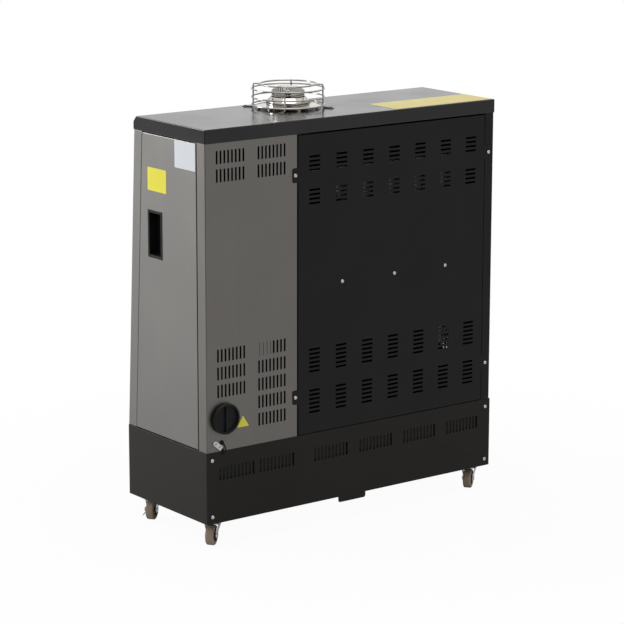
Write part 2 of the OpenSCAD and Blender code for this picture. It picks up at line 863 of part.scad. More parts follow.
// Perforated back of the reflector, with a flange along its top
module reflector_back() {
    y0 = reflector_y - sheet;
    hang = 16;
    color([0.7, 0.7, 0.72])
        difference() {
            union() {
                span([far_wing_x, y0, deck_z + sheet], [near_wing_x, reflector_y, ceiling_z + sheet]);
                span([far_wing_x, y0, ceiling_z], [near_wing_x, reflector_y + hang, ceiling_z + sheet]);
            }
            for (c = [0:louvre_cols - 2], g = lower_groups, i = perf_rows, dx = perf_dx)
                rear_hole(cover_x1 - louvre_in - c * louvre_col + dx,
                    deck_z + g[0] - i * louvre_pitch + perf_dz, perf_r, 40);
            for (x = mid_screw_x)
                rear_hole(x, mid_screw_z, screw_shank + screw_gap, 40);
        }
}

// Plan of the space inside the reflector's wings, grown by d
function wing_plan(d, y1, y0) = [
    [near_wing_x + d, y1], [near_wing_x + d + near_flare, y0],
    [far_wing_x - d - wing_flare, y0], [far_wing_x - d, y1]];

// Polished floor, ceiling and wings of the reflector
module reflector_box() {
    y1 = reflector_y - sheet;
    y0 = front_y + fold;
    color([0.8, 0.8, 0.82])
        difference() {
            intersection() {
                translate([0, 0, deck_z])
                    linear_extrude(ceiling_z - deck_z)
                        polygon(wing_plan(sheet, y1, y0));
                leaning()
                    span([-half_w, fold + 4, -40], [half_w, base_d + 40, slope_h]);
            }
            difference() {
                translate([0, 0, deck_z + sheet])
                    linear_extrude(ceiling_z - deck_z - 2 * sheet)
                        polygon(wing_plan(0, y1 + 1, y0 - 1));
            }
            translate([flue_x, flue_y, ceiling_z - 10])
                cylinder(h = 20, r = tube_r + panel_gap);
            translate([near_wing_x - 10, flue_y, pass_z[0]])
                rotate([0, 90, 0])
                    cylinder(h = 60, r = tube_r + 1);
        }
}

// One half turn of the tube, opening towards +X or, with side = -1, towards -X
module half_turn(x, z, side, r) {
    translate([x, flue_y, z])
        rotate([90, side > 0 ? 90 : -90, 0])
            rotate_extrude(angle = 180)
                translate([tube_bend, 0])
                    circle(r = r);
}

// Solid along the whole tube at radius r
module tube_path(r) {
    bend = tube_pitch / 2;
    start_x = partition_x + sheet;
    translate([bend_far_x, flue_y, pass_z[0]])
        rotate([0, 90, 0])
            cylinder(h = start_x - bend_far_x, r = r);
    for (i = [1, 2])
        translate([bend_far_x, flue_y, pass_z[i]])
            rotate([0, 90, 0])
                cylinder(h = bend_near_x - bend_far_x, r = r);
    translate([bend_far_x, flue_y, pass_z[3]])
        rotate([0, 90, 0])
            cylinder(h = flue_x - bend - bend_far_x, r = r);
    for (z = [pass_z[0] + bend, pass_z[2] + bend])
        half_turn(bend_far_x, z, -1, r);
    half_turn(bend_near_x, pass_z[1] + bend, 1, r);
    translate([flue_x - bend, flue_y, pass_z[3] + bend])
        rotate([90, 90, 0])
            rotate_extrude(angle = 90)
                translate([bend, 0])
                    circle(r = r);
    translate([flue_x, flue_y, pass_z[3] + bend])
        cylinder(h = 24, r = r);
}

module radiant_tube() {
    flange_r = tube_r + 15;
    color([0.45, 0.42, 0.38])
        difference() {
            union() {
                tube_path(tube_r);
                translate([partition_x + sheet, flue_y, pass_z[0]])
                    rotate([0, 90, 0])
                        cylinder(h = 3, r = flange_r);
            }
            tube_path(tube_in);
            translate([partition_x, flue_y, pass_z[0]])
                rotate([0, 90, 0])
                    cylinder(h = 10, r = tube_in);
            translate([flue_x, flue_y, pass_z[3] + tube_bend + 20])
                cylinder(h = 10, r = tube_in);
        }
}

// Two ribs that carry the passes, from the reflector's back to the tube's rear half
module tube_saddles() {
    t = 3;
    color([0.5, 0.5, 0.5])
        for (x = [bend_far_x + 60, bend_near_x - 60])
            difference() {
                span([x, flue_y, pass_z[0] - 25], [x + t, reflector_y - sheet, pass_z[3] + 25]);
                for (z = pass_z)
                    translate([x - 1, flue_y, z])
                        rotate([0, 90, 0])
                            cylinder(h = t + 2, r = tube_r + panel_gap);
            }
}

module flue_pipe() {
    wall = flue_wall;
    z0 = ceiling_z + run_gap;
    color([0.6, 0.6, 0.62])
        translate([flue_x, flue_y, z0])
            difference() {
                cylinder(h = lid_z1 + 12 - z0, r = tube_r + run_gap + wall);
                translate([0, 0, -1])
                    cylinder(h = lid_z1 + 14 - z0, r = tube_r + run_gap);
            }
}

// Opening of the guard frame, in the leaning frame
window_x0 = -side_x + frame_far;
window_x1 = split_x - 22;
window_v0 = frame_low;
window_v1 = slope_h - frame_top;

// Wire guard over the radiating front
module front_grille() {
    y = sheet + bar_r + run_gap;
    over = 7;
    count = floor((window_v1 - window_v0 - 8) / grille_pitch);
    first = (window_v0 + window_v1 - count * grille_pitch) / 2;
    stays = 5;
    color([0.7, 0.7, 0.72])
        leaning() {
            for (i = [0:count])
                translate([window_x0 - over, y, first + i * grille_pitch])
                    rotate([0, 90, 0])
                        cylinder(h = window_x1 - window_x0 + 2 * over, r = bar_r);
            for (i = [0:stays - 1])
                translate([window_x0 - over + 1 + i * (window_x1 - window_x0 + 2 * over - 6) / (stays - 1),
                    y + bar_r - 0.6, window_v0 - over])
                    cube([4, 2, window_v1 - window_v0 + 2 * over]);
        }
}

// Black frame round the radiating front
module front_frame() {
    x1 = split_x - panel_gap;
    color([0.12, 0.12, 0.125])
        between_deck_and_lid()
            leaning()
                difference() {
                    union() {
                        span([-side_x, 0, -20], [x1, sheet, slope_h + 20]);
                        span([x1 - sheet, 0, -20], [x1, fold, slope_h + 20]);
                    }
                    span([window_x0, -1, window_v0], [window_x1, fold + 5, window_v1]);
                }
}

// Control panel: a plate on the front column with a boss behind it
module control_panel() {
    well_w = 112;
    well_h = 44;
    color([0.08, 0.08, 0.09])
        leaning()
            translate([panel_x, 0, panel_v])
                difference() {
                    union() {
                        span([-panel_w / 2, -panel_t, -panel_h / 2], [panel_w / 2, 0, panel_h / 2]);
                        span([-panel_w / 2 + 8 + panel_gap, 0, -panel_h / 2 + 8 + panel_gap],
                            [panel_w / 2 - 8 - panel_gap, sheet + panel_boss, panel_h / 2 - 8 - panel_gap]);
                    }
                    span([-well_w / 2, -panel_t - 1, 2], [well_w / 2, 1.5 - panel_t, 2 + well_h]);
                    span([-panel_w / 2 + 12, 2, -panel_h / 2 + 12],
                        [panel_w / 2 - 12, sheet + panel_boss + 1, panel_h / 2 - 12]);
                    for (i = [0:3])
                        translate([(i - 1.5) * button_dx, -panel_t - 1, button_v])
                            rotate([-90, 0, 0])
                                cylinder(h = 10, r = button_r + button_gap);
                }
}

module display_window() {
    well_w = 112 - 2 * panel_gap;
    well_h = 44 - 2 * panel_gap;
    color([0.03, 0.05, 0.06])
        leaning()
            translate([panel_x, 0, panel_v])
                span([-well_w / 2, -panel_t + 0.3, 2 + panel_gap],
                    [well_w / 2, 1.5 - panel_t, 2 + panel_gap + well_h]);
}

// A button: cap with a step that keeps it behind the panel
module button(i) {
    color([0.75, 0.76, 0.78])
        leaning()
            translate([panel_x + (i - 1.5) * button_dx, -panel_t - button_travel - 0.5, panel_v + button_v])
                rotate([-90, 0, 0]) {
                    cylinder(h = 1, r1 = button_r - 0.8, r2 = button_r);
                    translate([0, 0, 1])
                        cylinder(h = panel_t + 2 + button_travel - 0.5 + 0.2, r = button_r);
                    translate([0, 0, panel_t + 2 + button_travel + 0.5 + 0.2])
                        cylinder(h = 1.2, r = button_r + 1.5);
                    translate([0, 0, panel_t + 2 + button_travel + 0.5 + 1.4])
                        cylinder(h = board_y - 4.4 - button_travel - 0.3, r = 2);
                }
}

module button_power() { button(0); }
module button_mode() { button(1); }
module button_up() { button(2); }
module button_down() { button(3); }

// Circuit board on four posts behind the control panel
module control_board() {
    post_h = board_y - sheet - panel_boss;
    color([0.1, 0.35, 0.15])
        leaning()
            translate([panel_x, board_y, panel_v]) {
                span([-panel_w / 2 + 9, 0, -panel_h / 2 + 9], [panel_w / 2 - 9, 1.6, panel_h / 2 - 9]);
                for (sx = [-1, 1], sz = [-1, 1])
                    translate([sx * (panel_w / 2 - 10.2), -post_h, sz * (panel_h / 2 - 10.2)])
                        rotate([-90, 0, 0])
                            cylinder(h = post_h + 1, r = 1.5);
            }
}

// Burner, on the axis of the lowest pass
burner_x = partition_x + sheet + 3;
housing_x = burner_x + 34;
housing_in = fan_w + 8;
housing_len = housing_in + 2 * housing_wall;
housing_r = fan_r + 6 + housing_wall;
motor_x = housing_x + housing_len;

module burner_nozzle() {
    flange_t2 = 4;
    color([0.62, 0.6, 0.55])
        translate([burner_x, flue_y, pass_z[0]])
            rotate([0, 90, 0])
                difference() {
                    union() {
                        translate([0, 0, -60])
                            cylinder(h = 60 + housing_x - burner_x, r = blast_r);
                        cylinder(h = flange_t2, r = tube_r + 15);
                    }
                    translate([0, 0, -61])
                        cylinder(h = 62 + housing_x - burner_x, r = blast_r - 2);
                }
}

module fan_housing() {
    color([0.3, 0.32, 0.34])
        translate([housing_x, flue_y, pass_z[0]])
            rotate([0, 90, 0])
                difference() {
                    cylinder(h = housing_len, r = housing_r);
                    translate([0, 0, housing_wall])
                        cylinder(h = housing_in, r = housing_r - housing_wall);
                    translate([0, 0, -1])
                        cylinder(h = housing_wall + 2, r = blast_r - 2);
                    translate([0, 0, housing_len - housing_wall - 1])
                        cylinder(h = housing_wall + 2, r = shaft_r + 3);
                    for (a = [0:30:330])
                        rotate([0, 0, a])
                            translate([motor_r + 9, 0, housing_len - housing_wall - 1])
                                cylinder(h = housing_wall + 2, r = 5);
                }
}

// Fan wheel with its shaft
module fan_wheel() {
    blades = 12;
    hub_len = 14;
    plate = 2;
    x0 = housing_wall + 4;
    color([0.6, 0.62, 0.64])
        translate([housing_x, flue_y, pass_z[0]])
            rotate([0, 90, 0]) {
                translate([0, 0, x0 + fan_w - plate])
                    cylinder(h = plate, r = fan_r);
                translate([0, 0, x0 + fan_w - hub_len])
                    cylinder(h = hub_len, r = 12);
                translate([0, 0, x0 + fan_w - 1])
                    cylinder(h = 4 + housing_wall + 1 + motor_len / 2, r = shaft_r);
                for (i = [0:blades - 1])
                    rotate([0, 0, i * 360 / blades])
                        translate([fan_r - 18, 0, x0])
                            rotate([0, 0, 35])
                                translate([0, -0.8, 0])
                                    cube([16, 1.6, fan_w - plate + 0.5]);
            }
}

module burner_motor() {
    color([0.25, 0.26, 0.28])
        translate([motor_x, flue_y, pass_z[0]])
            rotate([0, 90, 0])
                difference() {
                    union() {
                        cylinder(h = motor_len, r = motor_r);
                        translate([0, 0, motor_len])
                            cylinder(h = 6, r1 = motor_r - 4, r2 = motor_r - 12);
                    }
                    translate([0, 0, -1])
                        cylinder(h = motor_len / 2 + 2, r = shaft_r + run_gap);
                }
}

// Ignition transformer on the inside of the rear panel
module ignition_transformer() {
    w = 44;
    h = 60;
    d = 70;
    x = half_w - 175;
    z0 = deck_z + vent_low - 38;
    color([0.62, 0.63, 0.64]) {
        span([x - w / 2, panel_y - sheet - d, z0], [x + w / 2, panel_y - sheet, z0 + h]);
        translate([x, panel_y - sheet - d, z0 + h * 0.7])
            rotate([90, 0, 0])
                cylinder(h = 12, r = 8);
    }
}

// Fuel filter: a head with ports and a bowl
filter_c = [outlet[0] + 48, outlet[1]];
line_z = deck_z + 80;
filter_r = 17;
pump_x = filter_c[0] + 62;
pump_w = 44;
pump_top = deck_z + 104;
line_turn_z = pass_z[0];
line_end_y = flue_y - blast_r;

module fuel_filter() {
    color([0.7, 0.7, 0.68])
        translate([filter_c[0], filter_c[1], 0]) {
            translate([0, 0, deck_z])
                cylinder(h = 6, r = filter_r);
            translate([0, 0, deck_z + 5])
                cylinder(h = line_z - deck_z - 16, r = filter_r - 3);
            translate([0, 0, line_z - 12])
                cylinder(h = 24, r = filter_r);
        }
}

module fuel_pump() {
    color([0.55, 0.56, 0.58])
        difference() {
            union() {
                translate([pump_x, outlet[1], deck_z]) {
                    span([-pump_w / 2, -16, 0], [pump_w / 2, 24, 8]);
                    span([-pump_w / 2 + 4, -14, 0], [pump_w / 2 - 4, 20, 62]);
                    translate([0, 0, 60])
                        cylinder(h = pump_top - deck_z - 60, r = 12);
                }
                translate([pump_x - pump_w / 2, outlet[1], line_z])
                    rotate([0, 90, 0])
                        cylinder(h = pump_w / 2, r = 7);
            }
            translate([pump_x, outlet[1], pump_top - 8])
                cylinder(h = 10, r = line_r + run_gap);
            translate([pump_x - pump_w / 2 - 1, outlet[1], line_z])
                rotate([0, 90, 0])
                    cylinder(h = 9, r = line_r + run_gap);
        }
}

// Copper line: tank to filter, filter to pump, pump to burner
module fuel_line() {
    color([0.72, 0.45, 0.25]) {
        bar_path([[outlet[0], outlet[1], tank_z0 + 20], [outlet[0], outlet[1], line_z],
            [filter_c[0] - filter_r, filter_c[1], line_z]], line_r);
        bar_path([[filter_c[0] + filter_r, filter_c[1], line_z],
            [pump_x - pump_w / 2 + 7, outlet[1], line_z]], line_r);
        difference() {
            bar_path([[pump_x, outlet[1], pump_top - 7], [pump_x, outlet[1], line_turn_z + 14],
                [burner_x + 16, outlet[1], line_turn_z + 14], [burner_x + 16, outlet[1], line_turn_z],
                [burner_x + 16, line_end_y + 5, line_turn_z]], line_r);
            translate([burner_x - 10, flue_y, pass_z[0]])
                rotate([0, 90, 0])
                    cylinder(h = 60, r = blast_r);
        }
    }
}

// Exhaust outlet under the guard: disc on legs, drum and cone
module exhaust_base() {
    wall = 1.5;
    in_r = flue_r + run_gap;
    disc_z = leg_h + disc_t;
    color([0.82, 0.81, 0.78])
        translate([flue_x, flue_y, lid_z1]) {
            rotate_extrude()
                polygon([[in_r, leg_h], [cap_flange_r - 4, leg_h], [cap_flange_r, leg_h + 0.6],
                    [cap_flange_r, leg_h + 1.2], [cap_flange_r - 4, disc_z], [cap_drum_r, disc_z],
                    [cap_drum_r, drum_top], [cone_r, cone_top], [cone_r - wall, cone_top],
                    [cap_drum_r - wall, drum_top - 1], [cap_drum_r - wall, disc_z], [in_r, disc_z]]);
            for (a = [15:60:315])
                rotate([0, 0, a])
                    translate([cap_flange_r - 9, 0, 0])
                        cylinder(h = leg_h + 0.5, r = 4);
        }
}

// Crown of the exhaust: a drum open below, with a slotted disc under a capped ring of slanted fins
module exhaust_crown() {
    z0 = cone_top + crown_gap;
    z1 = z0 + crown_h;
    wall = 1.5;
    rim = 1;
    slots = 16;
    fins = 30;
    fin_t = 1.2;
    post_r = 1.6;
    post_at = crown_r - 2.7;
    arm_z = cone_top - 4;
    color([0.82, 0.81, 0.78])
        translate([flue_x, flue_y, lid_z1]) {
            difference() {
                translate([0, 0, z0])
                    cylinder(h = crown_h, r = crown_r);
                translate([0, 0, z0 - 1])
                    cylinder(h = crown_h - rim - wall + 1, r = crown_r - wall);
                translate([0, 0, z1 - rim])
                    cylinder(h = rim + 1, r = crown_r - wall);
                for (i = [0:slots - 1])
                    rotate([0, 0, i * 360 / slots])
                        translate([17, -2.2, z1 - rim - wall - 1])
                            cube([crown_r - 21, 4.4, wall + 2]);
            }
            for (a = [30:60:330])
                rotate([0, 0, a]) {
                    translate([post_at, 0, arm_z])
                        cylinder(h = crown_gap + 10, r = post_r);
                    translate([post_at, -post_r, arm_z])
                        cube([cone_r + 0.8 - post_at, 2 * post_r, 1.5]);
                }
            intersection() {
                rotate_extrude()
                    polygon([[crown_r - 9, z1 - rim - 0.5], [crown_r - 0.5, z1 - rim - 0.5],
                        [crown_r - 0.5, z1], [crown_top_r, z1 + fin_h], [crown_top_r - 7, z1 + fin_h]]);
                for (i = [0:fins - 1])
                    rotate([0, 0, i * 360 / fins])
                        translate([crown_top_r - 10, 0, z1 + fin_h / 2])
                            rotate([-50, 0, 0])
                                translate([0, -10, -fin_t / 2])
                                    cube([crown_r - crown_top_r + 12, 20, fin_t]);
            }
            translate([0, 0, z1 + fin_h - 1])
                cylinder(h = wall, r = crown_top_r);
        }
}

// Wire cage over the exhaust
module exhaust_guard() {
    out_r = guard_r + 2 * wire_r - 0.8;
    top_r = guard_r - 17;
    foot_in = guard_foot_r - eyelet_r + 1;
    top_z = guard_h - wire_r;
    color([0.8, 0.8, 0.8])
        translate([flue_x, flue_y, lid_z1]) {
            for (h = [8, 27, 48])
                translate([0, 0, h])
                    wire_ring(out_r, wire_r);
            translate([0, 0, top_z])
                wire_ring(top_r, wire_r);
            for (a = [45:90:315])
                rotate([0, 0, a]) {
                    bar_path([[foot_in, 0, wire_r + 0.2], round_z(guard_r + 3, upright_turn, wire_r + 0.5),
                        round_z(guard_r, upright_turn, 6), round_z(guard_r, upright_turn, top_z - 4),
                        round_z(guard_r - 4, upright_turn, top_z - 0.4),
                        round_z(top_r, upright_turn, top_z - 0.4)], wire_r);
                    translate([guard_foot_r, 0, 0])
                        difference() {
                            cylinder(h = eyelet_t, r = eyelet_r);
                            translate([0, 0, -1])
                                cylinder(h = eyelet_t + 2, r = screw_shank + screw_gap);
                        }
                }
        }
}

module guard_screws() {
    color([0.06, 0.06, 0.06])
        translate([flue_x, flue_y, lid_z1])
            for (a = [45:90:315])
                rotate([0, 0, a])
                    translate([guard_foot_r, 0, 0]) {
                        translate([0, 0, -6])
                            cylinder(h = 6 + eyelet_t + 0.5, r = screw_shank);
                        translate([0, 0, eyelet_t])
                            cylinder(h = 1, r = eyelet_r + 0.5);
                        translate([0, 0, eyelet_t + 1])
                            cylinder(h = 2.5, r1 = 5, r2 = 3.5);
                    }
}

// Filler neck: flange outside the rear panel, bend, and drop into the tank
module neck_path(r, over = 0) {
    translate([neck_c[0], panel_y + flange_t + over, neck_c[1]])
        rotate([90, 0, 0])
            cylinder(h = flange_t + neck_run + over, r = r);
    translate([neck_c[0], panel_y - neck_run, neck_c[1] - neck_bend])
        rotate([90, 0, 90])
            rotate([0, 0, 90])
                rotate_extrude(angle = 90)
                    translate([neck_bend, 0])
                        circle(r = r);
    translate([neck_c[0], neck_drop_y, tank_z1 - 10 - over])
        cylinder(h = neck_c[1] - neck_bend - tank_z1 + 10 + over, r = r);
}

module filler_neck() {
    color([0.15, 0.15, 0.15])
        difference() {
            union() {
                neck_path(neck_r);
                translate([neck_c[0], panel_y + flange_t, neck_c[1]])
                    rotate([90, 0, 0])
                        cylinder(h = flange_t, r = neck_r + 7);
            }
            neck_path(neck_in, 1);
        }
}

module cap_seal() {
    color([0.05, 0.05, 0.05])
        translate([neck_c[0], panel_y + flange_t + seal_t, neck_c[1]])
            rotate([90, 0, 0])
                difference() {
                    cylinder(h = seal_t, r = neck_r + 6);
                    translate([0, 0, -1])
                        cylinder(h = seal_t + 2, r = plug_r + run_gap);
                }
}

// Fuel cap: dished face with a grip blade across it and a plug inside the neck
module fuel_cap() {
    y0 = panel_y + flange_t + seal_t;
    h = rear_y + cap_proud - y0;
    dish_r = cap_r - 6;
    dish_d = h - 3;
    blade = 5;
    color([0.07, 0.07, 0.075])
        translate([neck_c[0], rear_y + cap_proud, neck_c[1]])
            rotate([90, 0, 0]) {
                difference() {
                    union() {
                        cylinder(h = 2, r1 = cap_r - 2, r2 = cap_r);
                        translate([0, 0, 2])
                            cylinder(h = h - 2, r = cap_r);
                    }
                    translate([0, 0, -1])
                        cylinder(h = dish_d + 1, r = dish_r);
                }
                intersection() {
                    translate([0, 0, 1])
                        cylinder(h = dish_d, r = dish_r + 0.5);
                    union() {
                        span([-blade / 2, -cap_r, 0], [blade / 2, cap_r, h]);
                        span([-cap_r, -blade / 2, dish_d - 1.5], [cap_r, blade / 2, h]);
                    }
                }
                translate([0, 0, h - 0.5])
                    cylinder(h = 10, r = plug_r);
            }
}

// Temperature sensor: grommet, lead and clipped probe on the rear panel
grommet_c = [half_w - 45, deck_z + 21.5];
grommet_r = 6;
lead_r = 2;
clip_a = [half_w - 25.5, deck_z + 21];
clip_b = [half_w - 43, deck_z + 7];
clip_r = 6;
clip_t = 4;

module sensor_grommet() {
    color([0.05, 0.05, 0.05])
        translate([grommet_c[0], panel_y + 2.5, grommet_c[1]])
            rotate([90, 0, 0])
                difference() {
                    union() {
                        cylinder(h = 2.5, r1 = grommet_r - 1, r2 = grommet_r);
                        translate([0, 0, 2])
                            cylinder(h = 5, r = grommet_r - 2 - run_gap);
                    }
                    translate([0, 0, -1])
                        cylinder(h = 10, r = lead_r + run_gap);
                }
}

module sensor_lead() {
    out = panel_y + 7;
    in = panel_y + lead_r + 0.2;
    d = (clip_b - clip_a) / norm(clip_b - clip_a);
    x = grommet_c[0];
    z = grommet_c[1];
    color([0.05, 0.05, 0.05])
        bar_path([[x, panel_y - 12, z], [x, out, z], [x - 5, out, z - 10], [x - 8, out, z - 21],
            [x - 7, out, z - 28], [x - 3, out, z - 29], [clip_b[0] + 6 * d[0], in, clip_b[1] + 6 * d[1]],
            [clip_b[0] + run_gap * d[0], in, clip_b[1] + run_gap * d[1]]], lead_r);
}

module sensor_clip() {
    d = clip_b - clip_a;
    length = norm(d);
    dot_r = 1.6;
    color([0.85, 0.86, 0.88])
        translate([clip_a[0], panel_y, clip_a[1]])
            rotate([90, 0, 0])
                rotate([0, 0, atan2(d[1], d[0])])
                    translate([0, 0, -clip_t]) {
                        cylinder(h = clip_t, r = clip_r);
                        translate([0, -clip_r, 0])
                            cube([length, 2 * clip_r, clip_t]);
                        for (s = [0, 0.62])
                            translate([s * length, 0, -0.6])
                                cylinder(h = 1, r = dot_r);
                    }
}

// A pan-head screw into the back of the casing
module back_screw(x, z, reach) {
    head_h = 2.2;
    translate([x, rear_y, z])
        rotate([-90, 0, 0]) {
            cylinder(h = head_h * 0.4, r = screw_r);
            translate([0, 0, head_h * 0.4])
                cylinder(h = head_h * 0.6, r1 = screw_r, r2 = screw_r - 1.6);
            translate([0, 0, -reach])
                cylinder(h = reach + 0.5, r = screw_shank);
        }
}

module panel_screws() {
    short = 3 * sheet + 3;
    color([0.85, 0.85, 0.83]) {
        for (z = tab_z) {
            back_screw(cover_x1 + tab_screw_in, z, short);
            back_screw(cover_x0 - far_screw_in, z, short);
        }
        for (x = mid_screw_x)
            back_screw(x, mid_screw_z, reflector_in + sheet + 3);
        for (sx = [-1, 1], z = base_screw_z)
            back_screw(sx * (half_w - base_screw_in), z, short);
    }
}

// Plain plates on the door: a pale one and a yellow one
module door_signs() {
    color([0.86, 0.87, 0.88]) {
        translate([side_x, door_y1 - 2 - pale_sign[0], door_z1 - 2 - pale_sign[1]])
            cube([sign_t, pale_sign[0], pale_sign[1]]);
        translate([side_x, door_y1 - 126.5 - yellow_sign[0], door_z1 - 82 - yellow_sign[1]])
            cube([sign_t, yellow_sign[0], yellow_sign[1]]);
    }
}

// Plain yellow plates on the casing: a strip on the lid and a triangle beside the fuel cap
module body_signs() {
    tri_x = neck_c[0] - 55.5;
    tri_z = neck_c[1] - 30;
    color([0.95, 0.88, 0.2]) {
        translate([4 - half_w, rear_y - 6 - lid_strip[1], lid_z1])
            cube([lid_strip[0], lid_strip[1], sign_t]);
        translate([tri_x, panel_y + sign_t, tri_z])
            rotate([90, 0, 0])
                linear_extrude(sign_t)
                    polygon([[-triangle_w / 2, 0], [triangle_w / 2, 0], [0, triangle_h]]);
    }
}

base_shell();
base_rear_plate();
deck_plate();
fuel_tank();
under_bracket();
caster_plates();
fork_front_right();
fork_rear_right();
fork_front_left();
fork_rear_left();
wheel_front_right();
wheel_rear_right();
wheel_front_left();
wheel_rear_left();
brake_front_right();
brake_front_left();
front_column();
rear_panel();
side_door();
door_pull();
door_hinges();
far_side_panel();
back_cover();
top_cover();
inner_partition();
reflector_back();
reflector_box();
radiant_tube();
tube_saddles();
flue_pipe();
front_grille();
front_frame();
control_panel();
display_window();
button_power();
button_mode();
button_up();
button_down();
control_board();
fan_housing();
fan_wheel();
burner_motor();
burner_nozzle();
ignition_transformer();
fuel_pump();
fuel_filter();
fuel_line();
exhaust_base();
exhaust_crown();
exhaust_guard();
guard_screws();
filler_neck();
cap_seal();
fuel_cap();
sensor_grommet();
sensor_lead();
sensor_clip();
panel_screws();
door_signs();
body_signs();
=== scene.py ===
import math
import bpy
import bmesh
from mathutils import Matrix, Vector


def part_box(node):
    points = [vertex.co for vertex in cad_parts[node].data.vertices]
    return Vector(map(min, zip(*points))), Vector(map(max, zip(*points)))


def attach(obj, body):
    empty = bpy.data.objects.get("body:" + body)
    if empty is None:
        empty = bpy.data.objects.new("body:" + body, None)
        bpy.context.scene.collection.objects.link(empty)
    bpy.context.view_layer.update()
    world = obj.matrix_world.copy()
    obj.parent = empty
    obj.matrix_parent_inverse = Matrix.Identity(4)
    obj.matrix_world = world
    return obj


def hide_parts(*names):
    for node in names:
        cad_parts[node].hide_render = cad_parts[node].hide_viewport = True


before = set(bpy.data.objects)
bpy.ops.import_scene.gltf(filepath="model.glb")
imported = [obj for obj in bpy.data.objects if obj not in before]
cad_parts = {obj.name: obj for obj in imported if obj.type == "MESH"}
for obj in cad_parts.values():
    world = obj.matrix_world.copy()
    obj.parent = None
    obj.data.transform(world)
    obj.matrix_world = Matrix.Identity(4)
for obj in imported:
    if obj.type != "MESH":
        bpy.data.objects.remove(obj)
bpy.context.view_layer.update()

mm = 0.001
print("frame loaded with", len(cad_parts), "nodes")

# Camera: square picture, long lens, behind the heater and to its service side
camera = {"place": (3.8122, 5.0467, 1.9229), "pitchDown": 12.627, "turn": 142.984, "roll": 0.095,
    "lens": 147.07}
turned = Matrix.Rotation(math.radians(camera["turn"]), 4, "Z")
turned = turned @ Matrix.Rotation(math.radians(90 - camera["pitchDown"]), 4, "X")
turned = turned @ Matrix.Rotation(math.radians(camera["roll"]), 4, "Z")
bpy.ops.object.camera_add(location=camera["place"], rotation=turned.to_euler())
eye = bpy.context.object
eye.name = "photoCamera"
eye.data.lens = camera["lens"]
eye.data.sensor_width = 36
bpy.context.scene.camera = eye
bpy.context.scene.view_settings.view_transform = "Standard"


# A node's output: sums and products of such values add their own Math nodes
class Value:
    def __init__(self, nodes, socket):
        self.nodes = nodes
        self.socket = socket

    def __add__(self, other):
        return self.nodes.maths("ADD", self, other)

    def __radd__(self, other):
        return self.nodes.maths("ADD", other, self)

    def __mul__(self, other):
        return self.nodes.maths("MULTIPLY", self, other)


# The node tree of one material or of the world
class Nodes:
    def __init__(self, owner):
        owner.use_nodes = True
        self.tree = owner.node_tree
        self.tree.nodes.clear()

    def add(self, kind, settings=None, inputs=None, output=0):
        node = self.tree.nodes.new(kind)
        for name, value in (settings or {}).items():
            if name == "stops":
                for i, (place, colour) in enumerate(value):
                    stop = node.color_ramp.elements[i] if i < 2 else node.color_ramp.elements.new(place)
                    stop.position = place
                    stop.color = colour
            else:
                setattr(node, name, value)
        for name, value in (inputs or {}).items():
            if isinstance(value, Value):
                self.tree.links.new(value.socket, node.inputs[name])
            else:
                node.inputs[name].default_value = value
        return Value(self, node.outputs[output]) if node.outputs else None

    def maths(self, operation, first, second):
        return self.add("ShaderNodeMath", {"operation": operation}, {0: first, 1: second})

    def place(self, stretch=(1, 1, 1)):
        point = self.add("ShaderNodeTexCoord", output="Object")
        return self.add("ShaderNodeVectorMath", {"operation": "MULTIPLY"}, {0: point, 1: stretch})

    def along(self, axis):
        return self.add("ShaderNodeSeparateXYZ", {}, {0: self.place()}, axis)

    def noise(self, scale, detail=3.0, stretch=(1, 1, 1)):
        return self.add("ShaderNodeTexNoise", {},
            {"Vector": self.place(stretch), "Scale": scale, "Detail": detail})

    def mix(self, factor, first, second):
        return self.add("ShaderNodeMix", {"data_type": "RGBA"}, {0: factor, 6: first, 7: second}, 2)

    def remap(self, value, low, high, newLow, newHigh):
        return self.add("ShaderNodeMapRange", {}, {0: value, 1: low, 2: high, 3: newLow, 4: newHigh})

    def bump(self, height, strength, distance):
        return self.add(
            "ShaderNodeBump", {}, {"Height": height, "Strength": strength, "Distance": distance})


def newFinish(name):
    material = bpy.data.materials.new(name)
    return material, Nodes(material)


def surface(nodes, inputs):
    shader = nodes.add("ShaderNodeBsdfPrincipled", {}, inputs)
    nodes.add("ShaderNodeOutputMaterial", {}, {"Surface": shader})


def rgba(red, green, blue):
    return (red, green, blue, 1.0)


# Powder coat: fine orange peel, faint cloudiness
def powderCoat(name, colour, roughness, gloss):
    material, nodes = newFinish(name)
    cloud = nodes.noise(7.0, 4.0)
    grain = nodes.noise(1500.0, 2.0)
    pale = tuple(min(1.0, c * 1.35) for c in colour)
    dark = tuple(c * 0.75 for c in colour)
    surface(nodes, {
        "Base Color": nodes.mix(cloud, rgba(*dark), rgba(*pale)),
        "Roughness": nodes.remap(cloud, 0.3, 0.7, roughness - 0.04, roughness + 0.04),
        "Specular IOR Level": gloss,
        "Normal": nodes.bump(grain, 0.25, 0.0001),
    })
    return material


